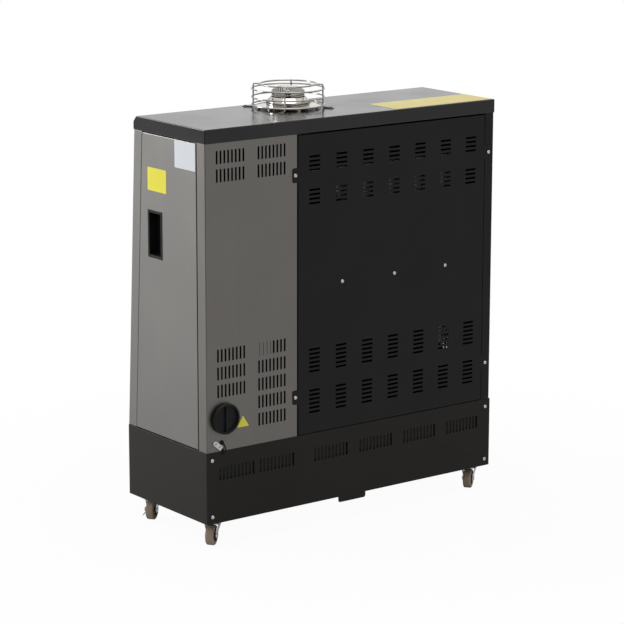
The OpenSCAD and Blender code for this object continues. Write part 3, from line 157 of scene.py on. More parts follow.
# Brushed sheet: long fine scratches along one direction and a soft mottle.
# Behind the inner limits in X and Y the base colour is painted near-black: painted shade in the gaps
# between panels.
def brushedSheet(name, colour, roughness, along, inner=None):
    material, nodes = newFinish(name)
    across = {"x": (2.5, 700, 700), "y": (700, 2.5, 700), "z": (700, 700, 2.5)}[along]
    scratch = nodes.noise(1.0, 5.0, across)
    broad = nodes.noise(1.0, 3.0, tuple(c * 0.08 if c > 100 else c * 0.6 for c in across))
    mottle = nodes.noise(5.0, 3.0)
    worn = nodes.remap(scratch * 0.5 + broad * 0.2 + mottle * 0.3, 0.3, 0.7, 0.0, 1.0)
    dark = tuple(c * 0.95 for c in colour)
    pale = tuple(min(1.0, c * 1.05) for c in colour)
    tone = nodes.mix(worn, rgba(*dark), rgba(*pale))
    # Painted shade: the sheet's inside, between the panels, turns near-black
    if inner:
        paintedGapShade = nodes.maths("LESS_THAN", nodes.along("X"), inner[0] * mm)
        paintedGapShade = paintedGapShade * nodes.maths("LESS_THAN", nodes.along("Y"), inner[1] * mm)
        tone = nodes.mix(paintedGapShade * 0.8, tone, rgba(0.012, 0.012, 0.012))
    surface(nodes, {
        "Base Color": tone,
        "Metallic": 1.0,
        "Roughness": nodes.remap(mottle, 0.3, 0.7, roughness - 0.03, roughness + 0.05),
        "Normal": nodes.bump(scratch, 0.12, 0.00005),
    })
    return material


# Zinc plate: small pale crystals, a little uneven
def zincPlate(name, colour, roughness):
    material, nodes = newFinish(name)
    crystal = nodes.add(
        "ShaderNodeTexVoronoi", {}, {"Vector": nodes.place(), "Scale": 260.0}, "Color")
    shade = nodes.add("ShaderNodeSeparateColor", {}, {0: crystal})
    cloud = nodes.noise(60.0, 3.0)
    dark = tuple(c * 0.8 for c in colour)
    surface(nodes, {
        "Base Color": nodes.mix(shade * 0.5 + cloud * 0.5, rgba(*dark), rgba(*colour)),
        "Metallic": 1.0,
        "Roughness": nodes.remap(cloud, 0.3, 0.7, roughness - 0.05, roughness + 0.08),
    })
    return material


# Polished stainless steel with faint wiping marks
def polishedSteel(name, colour, roughness):
    material, nodes = newFinish(name)
    wipe = nodes.noise(1.0, 4.0, (60, 60, 420))
    cloud = nodes.noise(25.0, 3.0)
    dark = tuple(c * 0.78 for c in colour)
    surface(nodes, {
        "Base Color": nodes.mix(wipe * 0.6 + cloud * 0.4, rgba(*dark), rgba(*colour)),
        "Metallic": 1.0,
        "Roughness": nodes.remap(cloud, 0.3, 0.7, roughness - 0.03, roughness + 0.06),
        "Normal": nodes.bump(wipe, 0.05, 0.0001),
    })
    return material


# Heat-stained tube: straw to blue patches over dull steel
def heatedSteel(name, colour):
    material, nodes = newFinish(name)
    patch = nodes.noise(6.0, 4.0)
    scale = nodes.noise(180.0, 4.0)
    stain = nodes.add("ShaderNodeValToRGB", {"stops": [
        (0.3, rgba(0.30, 0.27, 0.25)), (0.5, rgba(0.42, 0.31, 0.19)),
        (0.62, rgba(0.33, 0.22, 0.2)), (0.75, rgba(0.24, 0.25, 0.31))]}, {0: patch})
    surface(nodes, {
        "Base Color": nodes.mix(scale * 0.4, stain, rgba(*colour)),
        "Metallic": 1.0,
        "Roughness": nodes.remap(scale, 0.3, 0.7, 0.38, 0.55),
        "Normal": nodes.bump(scale, 0.2, 0.0002),
    })
    return material


# Moulded plastic: fine spark texture and handling marks
def mouldedPlastic(name, colour, roughness, gloss=0.4, texture=0.2):
    material, nodes = newFinish(name)
    spark = nodes.noise(2600.0, 2.0)
    touch = nodes.noise(35.0, 4.0)
    dark = tuple(c * 0.85 for c in colour)
    surface(nodes, {
        "Base Color": nodes.mix(touch, rgba(*dark), rgba(*colour)),
        "Roughness": nodes.remap(touch, 0.3, 0.7, roughness - 0.06, roughness + 0.06),
        "Specular IOR Level": gloss,
        "Normal": nodes.bump(spark, texture, 0.00008),
    })
    return material


# Rubber tread: warm grey-brown, dusty where it rolls
def treadRubber(name, colour, dusty):
    material, nodes = newFinish(name)
    cloud = nodes.noise(90.0, 4.0)
    speck = nodes.noise(1400.0, 2.0)
    surface(nodes, {
        "Base Color": nodes.mix(nodes.remap(cloud * 0.6 + speck * 0.4, 0.35, 0.65, 0, 1),
            rgba(*colour), rgba(*dusty)),
        "Roughness": nodes.remap(speck, 0.3, 0.7, 0.62, 0.85),
        "Specular IOR Level": 0.25,
        "Normal": nodes.bump(speck, 0.3, 0.0001),
    })
    return material


# Printed-stock film without any print: slight sheen and fine fibre
def plateFilm(name, colour):
    material, nodes = newFinish(name)
    fibre = nodes.noise(900.0, 3.0)
    cloud = nodes.noise(30.0, 3.0)
    dark = tuple(c * 0.93 for c in colour)
    surface(nodes, {
        "Base Color": nodes.mix(cloud * 0.5 + fibre * 0.5, rgba(*dark), rgba(*colour)),
        "Roughness": nodes.remap(cloud, 0.3, 0.7, 0.36, 0.48),
        "Specular IOR Level": 0.3,
        "Normal": nodes.bump(fibre, 0.08, 0.00005),
    })
    return material


# Circuit board: green lacquer over a grid of paler tracks
def boardLacquer(name):
    material, nodes = newFinish(name)
    brick = nodes.add("ShaderNodeTexBrick", {"offset": 0.35}, {
        "Vector": nodes.place(), "Scale": 90.0, "Mortar Size": 0.03,
        "Color1": rgba(0.01, 0.1, 0.035), "Color2": rgba(0.012, 0.13, 0.045),
        "Mortar": rgba(0.05, 0.26, 0.1)})
    speck = nodes.noise(400.0, 2.0)
    surface(nodes, {
        "Base Color": nodes.mix(speck * 0.3, brick, rgba(0.02, 0.17, 0.06)),
        "Roughness": nodes.remap(speck, 0.3, 0.7, 0.25, 0.4),
    })
    return material


# Dark display glass with a fine grid behind it
def displayGlass(name):
    material, nodes = newFinish(name)
    grid = nodes.add("ShaderNodeTexBrick", {"offset": 0.0}, {
        "Vector": nodes.place(), "Scale": 700.0, "Mortar Size": 0.04,
        "Color1": rgba(0.006, 0.014, 0.016), "Color2": rgba(0.007, 0.016, 0.018),
        "Mortar": rgba(0.012, 0.022, 0.024)})
    surface(nodes, {
        "Base Color": grid,
        "Roughness": nodes.remap(nodes.noise(40.0, 3.0), 0.3, 0.7, 0.05, 0.12),
        "Coat Weight": 1.0,
    })
    return material


# Inside faces of the casing in mm: between them and the axis a sheet's own inside gets painted shade,
# near-black
insideFaces = {"side": 447.8, "rear": 165.1, "beyond": 300.0}
rearInside = (insideFaces["side"], insideFaces["rear"])
doorInside = (insideFaces["side"], insideFaces["beyond"])

finishes = {
    "baseBlack": powderCoat("baseBlack", (0.0083, 0.007, 0.0052), 0.40, 0.22),
    "casingBlack": powderCoat("casingBlack", (0.0062, 0.0062, 0.0068), 0.38, 0.2),
    "lidBlack": powderCoat("lidBlack", (0.0085, 0.0083, 0.0092), 0.19, 0.5),
    # The rear panel is the same steel as the door, its colour a little darker: painted shade on the
    # rear face
    "shadedRearSteel": brushedSheet("shadedRearSteel", (0.185, 0.176, 0.165), 0.42, "z",
        inner=rearInside),
    "doorSteel": brushedSheet("doorSteel", (0.215, 0.211, 0.202), 0.42, "z",
        inner=doorInside),
    "sideSteel": brushedSheet("sideSteel", (0.215, 0.211, 0.202), 0.42, "z"),
    "innerSteel": brushedSheet("innerSteel", (0.2, 0.2, 0.195), 0.42, "x"),
    "dullZinc": zincPlate("dullZinc", (0.3, 0.3, 0.31), 0.5),
    "zincPlate": zincPlate("zincPlate", (0.8, 0.81, 0.83), 0.3),
    "screwSteel": zincPlate("screwSteel", (0.72, 0.71, 0.68), 0.25),
    "leverSteel": zincPlate("leverSteel", (0.075, 0.1, 0.12), 0.34),
    "polishedSteel": polishedSteel("polishedSteel", (0.62, 0.59, 0.55), 0.08),
    "wireSteel": polishedSteel("wireSteel", (0.4, 0.39, 0.37), 0.18),
    "mirrorSteel": polishedSteel("mirrorSteel", (0.75, 0.75, 0.75), 0.07),
    "heatedSteel": heatedSteel("heatedSteel", (0.16, 0.14, 0.12)),
    "tankPaint": powderCoat("tankPaint", (0.02, 0.02, 0.021), 0.45, 0.3),
    "housingPaint": powderCoat("housingPaint", (0.06, 0.064, 0.068), 0.42, 0.35),
    "motorPaint": powderCoat("motorPaint", (0.03, 0.03, 0.033), 0.45, 0.35),
    "copper": polishedSteel("copper", (0.55, 0.27, 0.14), 0.26),
    "capPlastic": mouldedPlastic("capPlastic", (0.0045, 0.0045, 0.005), 0.42, 0.2),
    "pullPlastic": mouldedPlastic("pullPlastic", (0.004, 0.0042, 0.0045), 0.5, 0.2),
    "panelPlastic": mouldedPlastic("panelPlastic", (0.012, 0.012, 0.013), 0.28, 0.45, 0.1),
    "greyPlastic": mouldedPlastic("greyPlastic", (0.28, 0.29, 0.3), 0.45),
    "hubPlastic": mouldedPlastic("hubPlastic", (0.03, 0.028, 0.026), 0.5, 0.3),
    "whitePlastic": mouldedPlastic("whitePlastic", (0.72, 0.73, 0.75), 0.4),
    "displayGlass": displayGlass("displayGlass"),
    "boardLacquer": boardLacquer("boardLacquer"),
    "treadRubber": treadRubber("treadRubber", (0.27, 0.21, 0.145), (0.36, 0.29, 0.21)),
    "sealRubber": treadRubber("sealRubber", (0.006, 0.006, 0.006), (0.011, 0.011, 0.011)),
    "whiteFilm": plateFilm("whiteFilm", (0.68, 0.71, 0.75)),
    "yellowFilm": plateFilm("yellowFilm", (0.8, 0.73, 0.055)),
    "stripFilm": plateFilm("stripFilm", (0.67, 0.57, 0.19)),
    "screwBlack": powderCoat("screwBlack", (0.005, 0.005, 0.005), 0.35, 0.3),
}
print("finishes made:", len(finishes))


# Working with pieces

def selectOnly(*pieces):
    if bpy.context.object and bpy.context.object.mode != "OBJECT":
        bpy.ops.object.mode_set(mode="OBJECT")
    bpy.ops.object.select_all(action="DESELECT")
    for piece in pieces:
        piece.select_set(True)
    bpy.context.view_layer.objects.active = pieces[0]


def editAll(piece, mode="FACE"):
    selectOnly(piece)
    bpy.ops.object.mode_set(mode="EDIT")
    bpy.ops.mesh.select_mode(type=mode)
    bpy.ops.mesh.select_all(action="SELECT")


def leaveEdit():
    bpy.ops.object.mode_set(mode="OBJECT")


# A face looks along an axis when its normal's part on that axis is larger than this
facing = 0.9


def pickFaces(piece, wanted):
    bpy.ops.mesh.select_mode(type="FACE")
    bpy.ops.mesh.select_all(action="DESELECT")
    shape = bmesh.from_edit_mesh(piece.data)
    shape.normal_update()
    for face in shape.faces:
        face.select_set(wanted(face))
    bmesh.update_edit_mesh(piece.data)


def pickEdges(piece, wanted):
    bpy.ops.mesh.select_mode(type="EDGE")
    bpy.ops.mesh.select_all(action="DESELECT")
    shape = bmesh.from_edit_mesh(piece.data)
    shape.normal_update()
    chosen = [edge for edge in shape.edges if wanted(edge)]
    for edge in chosen:
        edge.select_set(True)
    bmesh.update_edit_mesh(piece.data)
    return len(chosen)


def applyModifier(piece, kind, **settings):
    selectOnly(piece)
    modifier = piece.modifiers.new(kind.title(), kind)
    for name, value in settings.items():
        setattr(modifier, name, value)
    bpy.ops.object.modifier_apply(modifier=modifier.name)


def applyPlace(piece):
    selectOnly(piece)
    bpy.ops.object.transform_apply(location=True, rotation=True, scale=True)


def cutAway(piece, cutter):
    applyModifier(piece, "BOOLEAN", operation="DIFFERENCE", object=cutter, solver="EXACT")
    bpy.data.objects.remove(cutter)


def addCylinder(radius, depth, place=(0, 0, 0), vertices=48, **more):
    bpy.ops.object.select_all(action="DESELECT")
    bpy.ops.mesh.primitive_cylinder_add(
        vertices=vertices, radius=radius, depth=depth, location=place, **more)
    piece = bpy.context.object
    applyPlace(piece)
    return piece


# A new object with a copy of a piece's mesh, moved and turned by a matrix
def twinOf(piece, name, matrix):
    twin = bpy.data.objects.new(name, piece.data.copy())
    bpy.context.scene.collection.objects.link(twin)
    twin.matrix_world = matrix
    return twin


# Bevelled edges are sharper than this angle, smooth shading ends at the other one
softening = {"sharp": 35, "smooth": 38, "weight": 60}


# Takes off every sharp edge and leaves the flats flat
def softenEdges(piece, width, segments=2):
    if width:
        applyModifier(piece, "BEVEL", width=width, segments=segments, limit_method="ANGLE",
            angle_limit=math.radians(softening["sharp"]), use_clamp_overlap=False)
    selectOnly(piece)
    bpy.ops.object.shade_smooth_by_angle(angle=math.radians(softening["smooth"]))
    applyModifier(piece, "WEIGHTED_NORMAL", keep_sharp=True, weight=softening["weight"])


# A fold: a long outer edge, turned by more than an angle in radians, with a wide face on each side
folding = {"long": 30.0, "wide": 4.0, "turned": 0.7}


def isFold(edge):
    length = edge.calc_length()
    if len(edge.link_faces) != 2 or length < folding["long"] * mm:
        return False
    if edge.calc_face_angle_signed(0) < folding["turned"]:
        return False
    return all(face.calc_area() / length > folding["wide"] * mm for face in edge.link_faces)


# Vertices nearer than this are merged, faces that meet flatter than this angle become one
cleaning = {"near": 0.002, "flat": 0.4}


def copyNode(nodeName, pieceName):
    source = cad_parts[nodeName]
    piece = bpy.data.objects.new(pieceName, source.data.copy())
    bpy.context.scene.collection.objects.link(piece)
    piece.data.materials.clear()
    selectOnly(piece)
    bpy.ops.mesh.customdata_custom_splitnormals_clear()
    editAll(piece, "VERT")
    bpy.ops.mesh.remove_doubles(threshold=cleaning["near"] * mm)
    bpy.ops.mesh.mark_sharp(clear=True)
    bpy.ops.mesh.dissolve_limited(angle_limit=math.radians(cleaning["flat"]))
    leaveEdit()
    return piece


def foldEdges(piece, radius):
    editAll(piece, "EDGE")
    if pickEdges(piece, isFold):
        bpy.ops.mesh.bevel(offset=radius, segments=4, profile=0.5, clamp_overlap=False)
    leaveEdit()


def finishPiece(piece, body, slotName, finish, *nodes):
    piece.data.materials.clear()
    piece.data.materials.append(finishes[finish])
    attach(piece, body)
    if nodes:
        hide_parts(*nodes)
    return piece


# One piece from one CAD node, with its folds and edges rounded
def dressNode(nodeName, pieceName, body, slotName, finish, fold=0, edge=0.3, segments=2):
    piece = copyNode(nodeName, pieceName)
    if fold:
        foldEdges(piece, fold * mm)
    softenEdges(piece, edge * mm, segments)
    return finishPiece(piece, body, slotName, finish, nodeName)


# Base box, deck and tank
dressNode("base_shell", "baseBox", "casing", "black_steel", "baseBlack", fold=1.5)
dressNode("base_rear_plate", "baseRearPlate", "casing", "black_steel", "baseBlack", edge=0.35)
dressNode("deck_plate", "deckPlate", "casing", "bright_steel", "innerSteel", edge=0.25)
dressNode("fuel_tank", "fuelTank", "casing", "tank_steel", "tankPaint", fold=6)
dressNode("under_bracket", "tieBracket", "casing", "black_steel", "baseBlack", edge=0.4)
print("base done")

# Casing sheets
dressNode("front_column", "frontColumn", "casing", "side_steel", "sideSteel", fold=1.8)
dressNode("rear_panel", "rearPanel", "casing", "side_steel", "shadedRearSteel", edge=0.3)
dressNode("side_door", "serviceDoor", "door", "side_steel", "doorSteel", fold=1.8)
dressNode("far_side_panel", "farSidePanel", "casing", "black_steel", "casingBlack", edge=0.3)
dressNode("top_cover", "lid", "casing", "lid_steel", "lidBlack", fold=2.2)
dressNode("inner_partition", "innerWall", "casing", "bright_steel", "innerSteel", edge=0.3)
dressNode("door_hinges", "doorHinges", "casing", "zinc", "zincPlate", edge=0.4)
dressNode("door_pull", "doorPull", "door", "black_plastic", "pullPlastic",
    fold=1.5, edge=0.5, segments=3)


# Back cover: tab corners rounded before the rims
backCover = {"tabCorner": 5.0, "fold": 1.5, "edge": 0.3, "straight": 0.05, "outermost": 0.1}


def makeBackCover(settings):
    piece = copyNode("back_cover", "backCover")
    low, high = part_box("back_cover")
    editAll(piece, "EDGE")

    def isTabCorner(edge):
        first, second = (v.co for v in edge.verts)
        straight = settings["straight"] * mm
        outermost = settings["outermost"] * mm
        along = abs(first.x - second.x) < straight and abs(first.z - second.z) < straight
        outer = first.x < low.x + outermost or first.x > high.x - outermost
        return along and outer

    pickEdges(piece, isTabCorner)
    bpy.ops.mesh.bevel(offset=settings["tabCorner"] * mm, segments=5, clamp_overlap=False)
    leaveEdit()
    foldEdges(piece, settings["fold"] * mm)
    softenEdges(piece, settings["edge"] * mm)
    return finishPiece(piece, "casing", "black_steel", "casingBlack", "back_cover")


makeBackCover(backCover)
print("casing done")

# Radiating side
dressNode("reflector_back", "reflectorBack", "casing", "reflector_steel", "dullZinc",
    edge=0.2, segments=1)
dressNode("reflector_box", "reflectorBox", "casing", "reflector_steel", "mirrorSteel", edge=0.3)
dressNode("radiant_tube", "radiantTube", "casing", "tube_steel", "heatedSteel", edge=0.3)
dressNode("tube_saddles", "tubeSaddles", "casing", "bright_steel", "innerSteel", edge=0.4)
dressNode("flue_pipe", "fluePipe", "casing", "bright_steel", "innerSteel", edge=0.2)
dressNode("front_grille", "frontGrille", "casing", "polished_steel", "wireSteel", edge=0.3)
dressNode("front_frame", "frontFrame", "casing", "black_steel", "casingBlack", edge=0.35)
print("radiating side done")

# Controls
dressNode("control_panel", "controlPanel", "casing", "panel_plastic", "panelPlastic",
    edge=0.8, segments=3)
dressNode("display_window", "displayWindow", "casing", "display", "displayGlass", edge=0.2)
dressNode("control_board", "controlBoard", "casing", "board_green", "boardLacquer", edge=0.2)
for word in ("power", "mode", "up", "down"):
    dressNode("button_" + word, word + "Button", "button_" + word, "grey_plastic", "greyPlastic",
        edge=0.5, segments=3)
print("controls done")

# Burner
dressNode("fan_housing", "fanHousing", "casing", "housing_steel", "housingPaint", edge=0.8, segments=3)
dressNode("fan_wheel", "fanWheel", "fan", "bright_steel", "innerSteel", edge=0.2)
dressNode("burner_nozzle", "blastTube", "casing", "bright_steel", "innerSteel", edge=0.5)
dressNode("ignition_transformer", "ignitionTransformer", "casing", "bright_steel", "innerSteel",
    edge=1.5, segments=3)
dressNode("fuel_pump", "fuelPump", "casing", "motor_steel", "motorPaint", edge=1.0, segments=3)
dressNode("fuel_filter", "fuelFilter", "casing", "bright_steel", "innerSteel", edge=0.8, segments=3)
dressNode("fuel_line", "fuelLine", "casing", "copper", "copper", edge=0)

# Motor: finned barrel with a domed end
motor = {"radius": 38.0, "fin": 2.0, "fins": 36, "length": 78.0, "rim": 4.0, "dome": 6.0,
    "domeShare": 0.8, "edge": 0.3}


def makeMotor(settings):
    low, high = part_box("burner_motor")
    middle = (low + high) / 2
    length = settings["length"] * mm
    piece = addCylinder(settings["radius"] * mm, length, (low.x + length / 2, middle.y, middle.z),
        settings["fins"] * 2, rotation=(0, math.pi / 2, 0))
    piece.name = "burnerMotor"
    editAll(piece)
    step = 2 * math.pi / settings["fins"]

    def isFinFace(face):
        away = face.calc_center_median() - middle
        turn = math.atan2(away.z, away.y) % step
        return abs(face.normal.x) < facing and turn < step / 2

    pickFaces(piece, isFinFace)
    bpy.ops.mesh.extrude_region_shrink_fatten(
        TRANSFORM_OT_shrink_fatten={"value": settings["fin"] * mm})
    pickFaces(piece, lambda face: face.normal.x > facing and len(face.verts) > settings["fins"])
    bpy.ops.mesh.inset(thickness=settings["rim"] * mm)
    bpy.ops.mesh.extrude_region_shrink_fatten(
        TRANSFORM_OT_shrink_fatten={"value": settings["dome"] * mm})
    share = settings["domeShare"]
    bpy.ops.transform.resize(value=(1, share, share), center_override=(high.x, middle.y, middle.z))
    leaveEdit()
    softenEdges(piece, settings["edge"] * mm)
    return finishPiece(piece, "casing", "motor_steel", "motorPaint", "burner_motor")


makeMotor(motor)
print("burner done")

# Exhaust
dressNode("exhaust_base", "exhaustBase", "casing", "polished_steel", "polishedSteel",
    edge=0.4, segments=3)

# Crown: the drum and posts of the CAD node, with bent, slanted blades and a small hub in place
# of its top. The cutter's radius is a share of the node's width. A station is a blade's radius,
# its depth below the node's top and its width there.
crown = {"cut": 11.5, "cutterShare": 0.7, "edge": 0.15, "blades": 36,
    "stations": ((39.5, 11.9, 2.8), (29.0, 5.0, 2.1), (17.5, 3.8, 1.2)), "tangent": 16.5, "thick": 0.7,
    "tilt": 20.0, "bladeEdge": 0.12, "hub": 18.0, "hubHigh": 1.4, "hubEdge": 0.4, "sootAndShade": 39.0,
    "sootAndShadeHigh": 0.4, "sootAndShadeDepth": 11.3}


# A tapered strip between two points, tilted about its own length
def makeBlade(outer, inner, outerWide, innerWide, settings):
    along = (outer - inner).normalized()
    across = Vector((0, 0, 1)).cross(along).normalized()
    leaning = Matrix((along, across, along.cross(across))).transposed().to_4x4()
    bpy.ops.object.select_all(action="DESELECT")
    bpy.ops.mesh.primitive_cube_add(size=1)
    blade = bpy.context.object
    blade.scale = ((outer - inner).length, outerWide, settings["thick"] * mm)
    applyPlace(blade)
    editAll(blade)
    pickFaces(blade, lambda face: face.normal.x < -facing)
    bpy.ops.transform.resize(value=(1, innerWide / outerWide, 1), center_override=(0, 0, 0))
    leaveEdit()
    tilted = Matrix.Rotation(math.radians(settings["tilt"]), 4, "X")
    blade.matrix_world = Matrix.Translation((outer + inner) / 2) @ leaning @ tilted
    applyPlace(blade)
    softenEdges(blade, settings["bladeEdge"] * mm, 1)
    return blade


# Seen from above, each blade is a straight line that passes the axis at the tangent distance
def makeBlades(settings, centre):
    tangent = settings["tangent"]
    widest = settings["stations"][0][0]
    points = []
    for radius, depth, wide in settings["stations"]:
        swing = math.acos(tangent / radius) - math.acos(tangent / widest)
        point = Vector((radius * math.cos(swing), radius * math.sin(swing), -depth)) * mm
        points.append((point, wide * mm))
    blades = []
    for (outer, outerWide), (inner, innerWide) in zip(points, points[1:]):
        model = makeBlade(outer, inner, outerWide, innerWide, settings)
        for i in range(settings["blades"]):
            turned = Matrix.Rotation(2 * math.pi * i / settings["blades"], 4, "Z")
            blade = twinOf(model, "crownBlade", Matrix.Translation(centre) @ turned)
            applyPlace(blade)
            blades.append(blade)
        bpy.data.objects.remove(model)
    return blades


def makeCrown(settings):
    piece = copyNode("exhaust_crown", "exhaustCrown")
    low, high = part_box("exhaust_crown")
    centre = Vector(((low.x + high.x) / 2, (low.y + high.y) / 2, high.z))
    cutter = addCylinder((high.x - low.x) * settings["cutterShare"], settings["cut"] * mm * 2, centre)
    cutAway(piece, cutter)
    softenEdges(piece, settings["edge"] * mm, 1)

    def makeDisc(radius, thick, depth):
        return addCylinder(radius * mm, thick * mm, centre - Vector((0, 0, depth * mm)), 64)

    hub = makeDisc(settings["hub"], settings["hubHigh"], settings["stations"][-1][1])
    softenEdges(hub, settings["hubEdge"] * mm)
    selectOnly(piece, hub, *makeBlades(settings, centre))
    bpy.ops.object.join()
    finishPiece(piece, "casing", "polished_steel", "polishedSteel", "exhaust_crown")
    # A black disc under the blades: soot and painted shade inside the crown
    sootAndShade = makeDisc(settings["sootAndShade"], settings["sootAndShadeHigh"], settings["sootAndShadeDepth"])
    sootAndShade.name = "crownSootAndShade"
    softenEdges(sootAndShade, 0)
    finishPiece(sootAndShade, "casing", "black_steel", "casingBlack", "exhaust_crown")


makeCrown(crown)


# A bent wire: one vertex extruded from bend to bend, its bends rounded, then given its thickness
def makeWire(points, radius, bend):
    points = [Vector(p) for p in points]
    bpy.ops.object.select_all(action="DESELECT")
    bpy.ops.mesh.primitive_plane_add(size=mm, location=points[0])
    piece = bpy.context.object
    applyPlace(piece)
    editAll(piece, "VERT")
    bpy.ops.mesh.merge(type="CENTER")
    for start, end in zip(points, points[1:]):
        bpy.ops.mesh.extrude_region_move(TRANSFORM_OT_translate={"value": end - start})
    bpy.ops.mesh.select_all(action="DESELECT")
    shape = bmesh.from_edit_mesh(piece.data)
    for vertex in shape.verts:
        vertex.select_set(len(vertex.link_edges) == 2)
    bmesh.update_edit_mesh(piece.data)
    bpy.ops.mesh.bevel(
        offset=bend, segments=6, affect="VERTICES", offset_type="OFFSET", clamp_overlap=True)
    leaveEdit()
    selectOnly(piece)
    bpy.ops.object.convert(target="CURVE")
    piece = bpy.context.object
    piece.data.bevel_depth = radius
    piece.data.bevel_resolution = 3
    piece.data.use_fill_caps = True
    bpy.ops.object.convert(target="MESH")
    return bpy.context.object


guard = {"wire": 2.0, "upright": 87.0, "turn": 3.5, "bend": 3.5, "foot": 108.0, "footWire": 103.0,
    "eyelet": 4.8, "eyeletLift": 1.4, "eyeletFlat": 0.4, "height": 61.0,
    "ringHeights": (8.0, 27.0, 48.0), "ring": 90.2, "topRing": 70.0}
guardAngles = [45 + 90 * i for i in range(4)]


# A point of the guard, by its distance from the axis, its height over the lid and its angle
def guardPoint(radius, height, angle):
    low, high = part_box("exhaust_guard")
    turn = math.radians(angle)
    middle = (low + high) / 2
    return Vector((middle.x, middle.y, low.z)) + Vector(
        (radius * math.cos(turn), radius * math.sin(turn), height)) * mm


def makeGuard(settings):
    wire = settings["wire"]
    top = settings["height"] - wire
    rings = [(settings["ring"], height) for height in settings["ringHeights"]]
    rings.append((settings["topRing"], top))
    parts = []
    for radius, height in rings:
        bpy.ops.object.select_all(action="DESELECT")
        bpy.ops.mesh.primitive_torus_add(major_radius=radius * mm, minor_radius=wire * mm,
            major_segments=120, minor_segments=12, location=guardPoint(0, height, 0))
        parts.append(bpy.context.object)
    for angle in guardAngles:
        turned = angle + settings["turn"]
        bends = [guardPoint(settings["footWire"], wire, angle),
            guardPoint(settings["upright"], wire, turned), guardPoint(settings["upright"], top, turned),
            guardPoint(settings["topRing"], top, turned)]
        parts.append(makeWire(bends, wire * mm, settings["bend"] * mm))
        bpy.ops.object.select_all(action="DESELECT")
        bpy.ops.mesh.primitive_torus_add(major_radius=settings["eyelet"] * mm, minor_radius=wire * mm,
            major_segments=28, minor_segments=10,
            location=guardPoint(settings["foot"], settings["eyeletLift"], angle))
        eyelet = bpy.context.object
        eyelet.scale = (1, 1, settings["eyeletFlat"])
        parts.append(eyelet)
    selectOnly(*parts)
    bpy.ops.object.join()
    piece = bpy.context.object
    piece.name = "exhaustGuard"
    applyPlace(piece)
    softenEdges(piece, 0)
    return finishPiece(piece, "casing", "polished_steel", "wireSteel", "exhaust_guard")


makeGuard(guard)


# Shares of the head's height and radius that its dome and its recess take
screwHead = {"dome": 0.62, "armLong": 1.1, "armWide": 0.22, "armDeep": 1.1, "shank": 2.0, "edge": 0.12}


# A domed screw head on +Z with a cross recess and a plain shank, all in mm
def makeScrew(radius, height, reach):
    piece = addCylinder(radius * mm, height * mm, (0, 0, height / 2 * mm), 40)
    editAll(piece)
    pickFaces(piece, lambda face: face.normal.z > facing)
    bpy.ops.mesh.bevel(offset=height * screwHead["dome"] * mm, segments=5, profile=0.5)
    pickFaces(piece, lambda face: face.normal.z < -facing)
    bpy.ops.mesh.inset(thickness=(radius - screwHead["shank"]) * mm)
    bpy.ops.mesh.extrude_region_shrink_fatten(TRANSFORM_OT_shrink_fatten={"value": reach * mm})
    leaveEdit()
    arm = (radius * screwHead["armLong"], radius * screwHead["armWide"], height * screwHead["armDeep"])
    for angle in (0, 90):
        bpy.ops.object.select_all(action="DESELECT")
        bpy.ops.mesh.primitive_cube_add(size=1, location=(0, 0, height * mm),
            rotation=(0, 0, math.radians(angle)), scale=Vector(arm) * mm)
        cutter = bpy.context.object
        applyPlace(cutter)
        cutAway(piece, cutter)
    softenEdges(piece, screwHead["edge"] * mm, 1)
    return piece


# Copies one piece to each place, its +Z along a direction and each copy spun further, and joins them
def placeCopies(model, pieceName, places, direction, spinStep=37):
    turned = Vector((0, 0, 1)).rotation_difference(Vector(direction)).to_matrix().to_4x4()
    copies = []
    for i, place in enumerate(places):
        spin = Matrix.Rotation(math.radians(spinStep * i), 4, "Z")
        copies.append(twinOf(model, pieceName, Matrix.Translation(place) @ turned @ spin))
    selectOnly(*copies)
    if len(copies) > 1:
        bpy.ops.object.join()
    piece = bpy.context.object
    piece.name = pieceName
    applyPlace(piece)
    bpy.data.objects.remove(model)
    return piece


panelScrews = {"radius": 4.6, "height": 2.2, "reach": 6.6, "longReach": 24.0, "tabX": (184.0, -430.9),
    "tabZ": (898.0, 344.0), "baseX": (434.0, -434.0), "baseZ": (83.0, 225.0),
    "middleX": (39.5, -125.75, -291.0), "middleZ": 619.5}


def makePanelScrews(settings):
    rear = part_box("back_cover")[1].y

    def spots(xs, zs):
        return [Vector((x * mm, rear, z * mm)) for x in xs for z in zs]

    outer = spots(settings["tabX"], settings["tabZ"]) + spots(settings["baseX"], settings["baseZ"])
    middle = spots(settings["middleX"], [settings["middleZ"]])
    for name, reach, places in (
            ("panelScrews", settings["reach"], outer), ("middleScrews", settings["longReach"], middle)):
        screw = makeScrew(settings["radius"], settings["height"], reach)
        screws = placeCopies(screw, name, places, (0, 1, 0))
        finishPiece(screws, "casing", "zinc", "screwSteel", "panel_screws")


makePanelScrews(panelScrews)

guardScrews = {"radius": 4.6, "height": 1.4, "reach": 8.2, "lift": 2.2, "washer": 8.5,
    "washerThick": 0.6, "washerEdge": 0.15}


# The screws sit on the guard's eyelets, the washers lie on the lid under them
def makeGuardScrews(settings):
    def spots(lift):
        return [guardPoint(guard["foot"], lift, angle) for angle in guardAngles]

    screws = placeCopies(makeScrew(settings["radius"], settings["height"], settings["reach"]),
        "guardScrews", spots(settings["lift"]), (0, 0, 1))
    finishPiece(screws, "casing", "black_screw", "screwBlack", "guard_screws")
    thick = settings["washerThick"]
    washer = addCylinder(settings["washer"] * mm, thick * mm, (0, 0, -thick / 2 * mm))
    softenEdges(washer, settings["washerEdge"] * mm)
    washers = placeCopies(washer, "guardWashers", spots(thick), (0, 0, 1))
    finishPiece(washers, "casing", "black_screw", "screwBlack", "guard_screws")


makeGuardScrews(guardScrews)
print("exhaust and screws done")

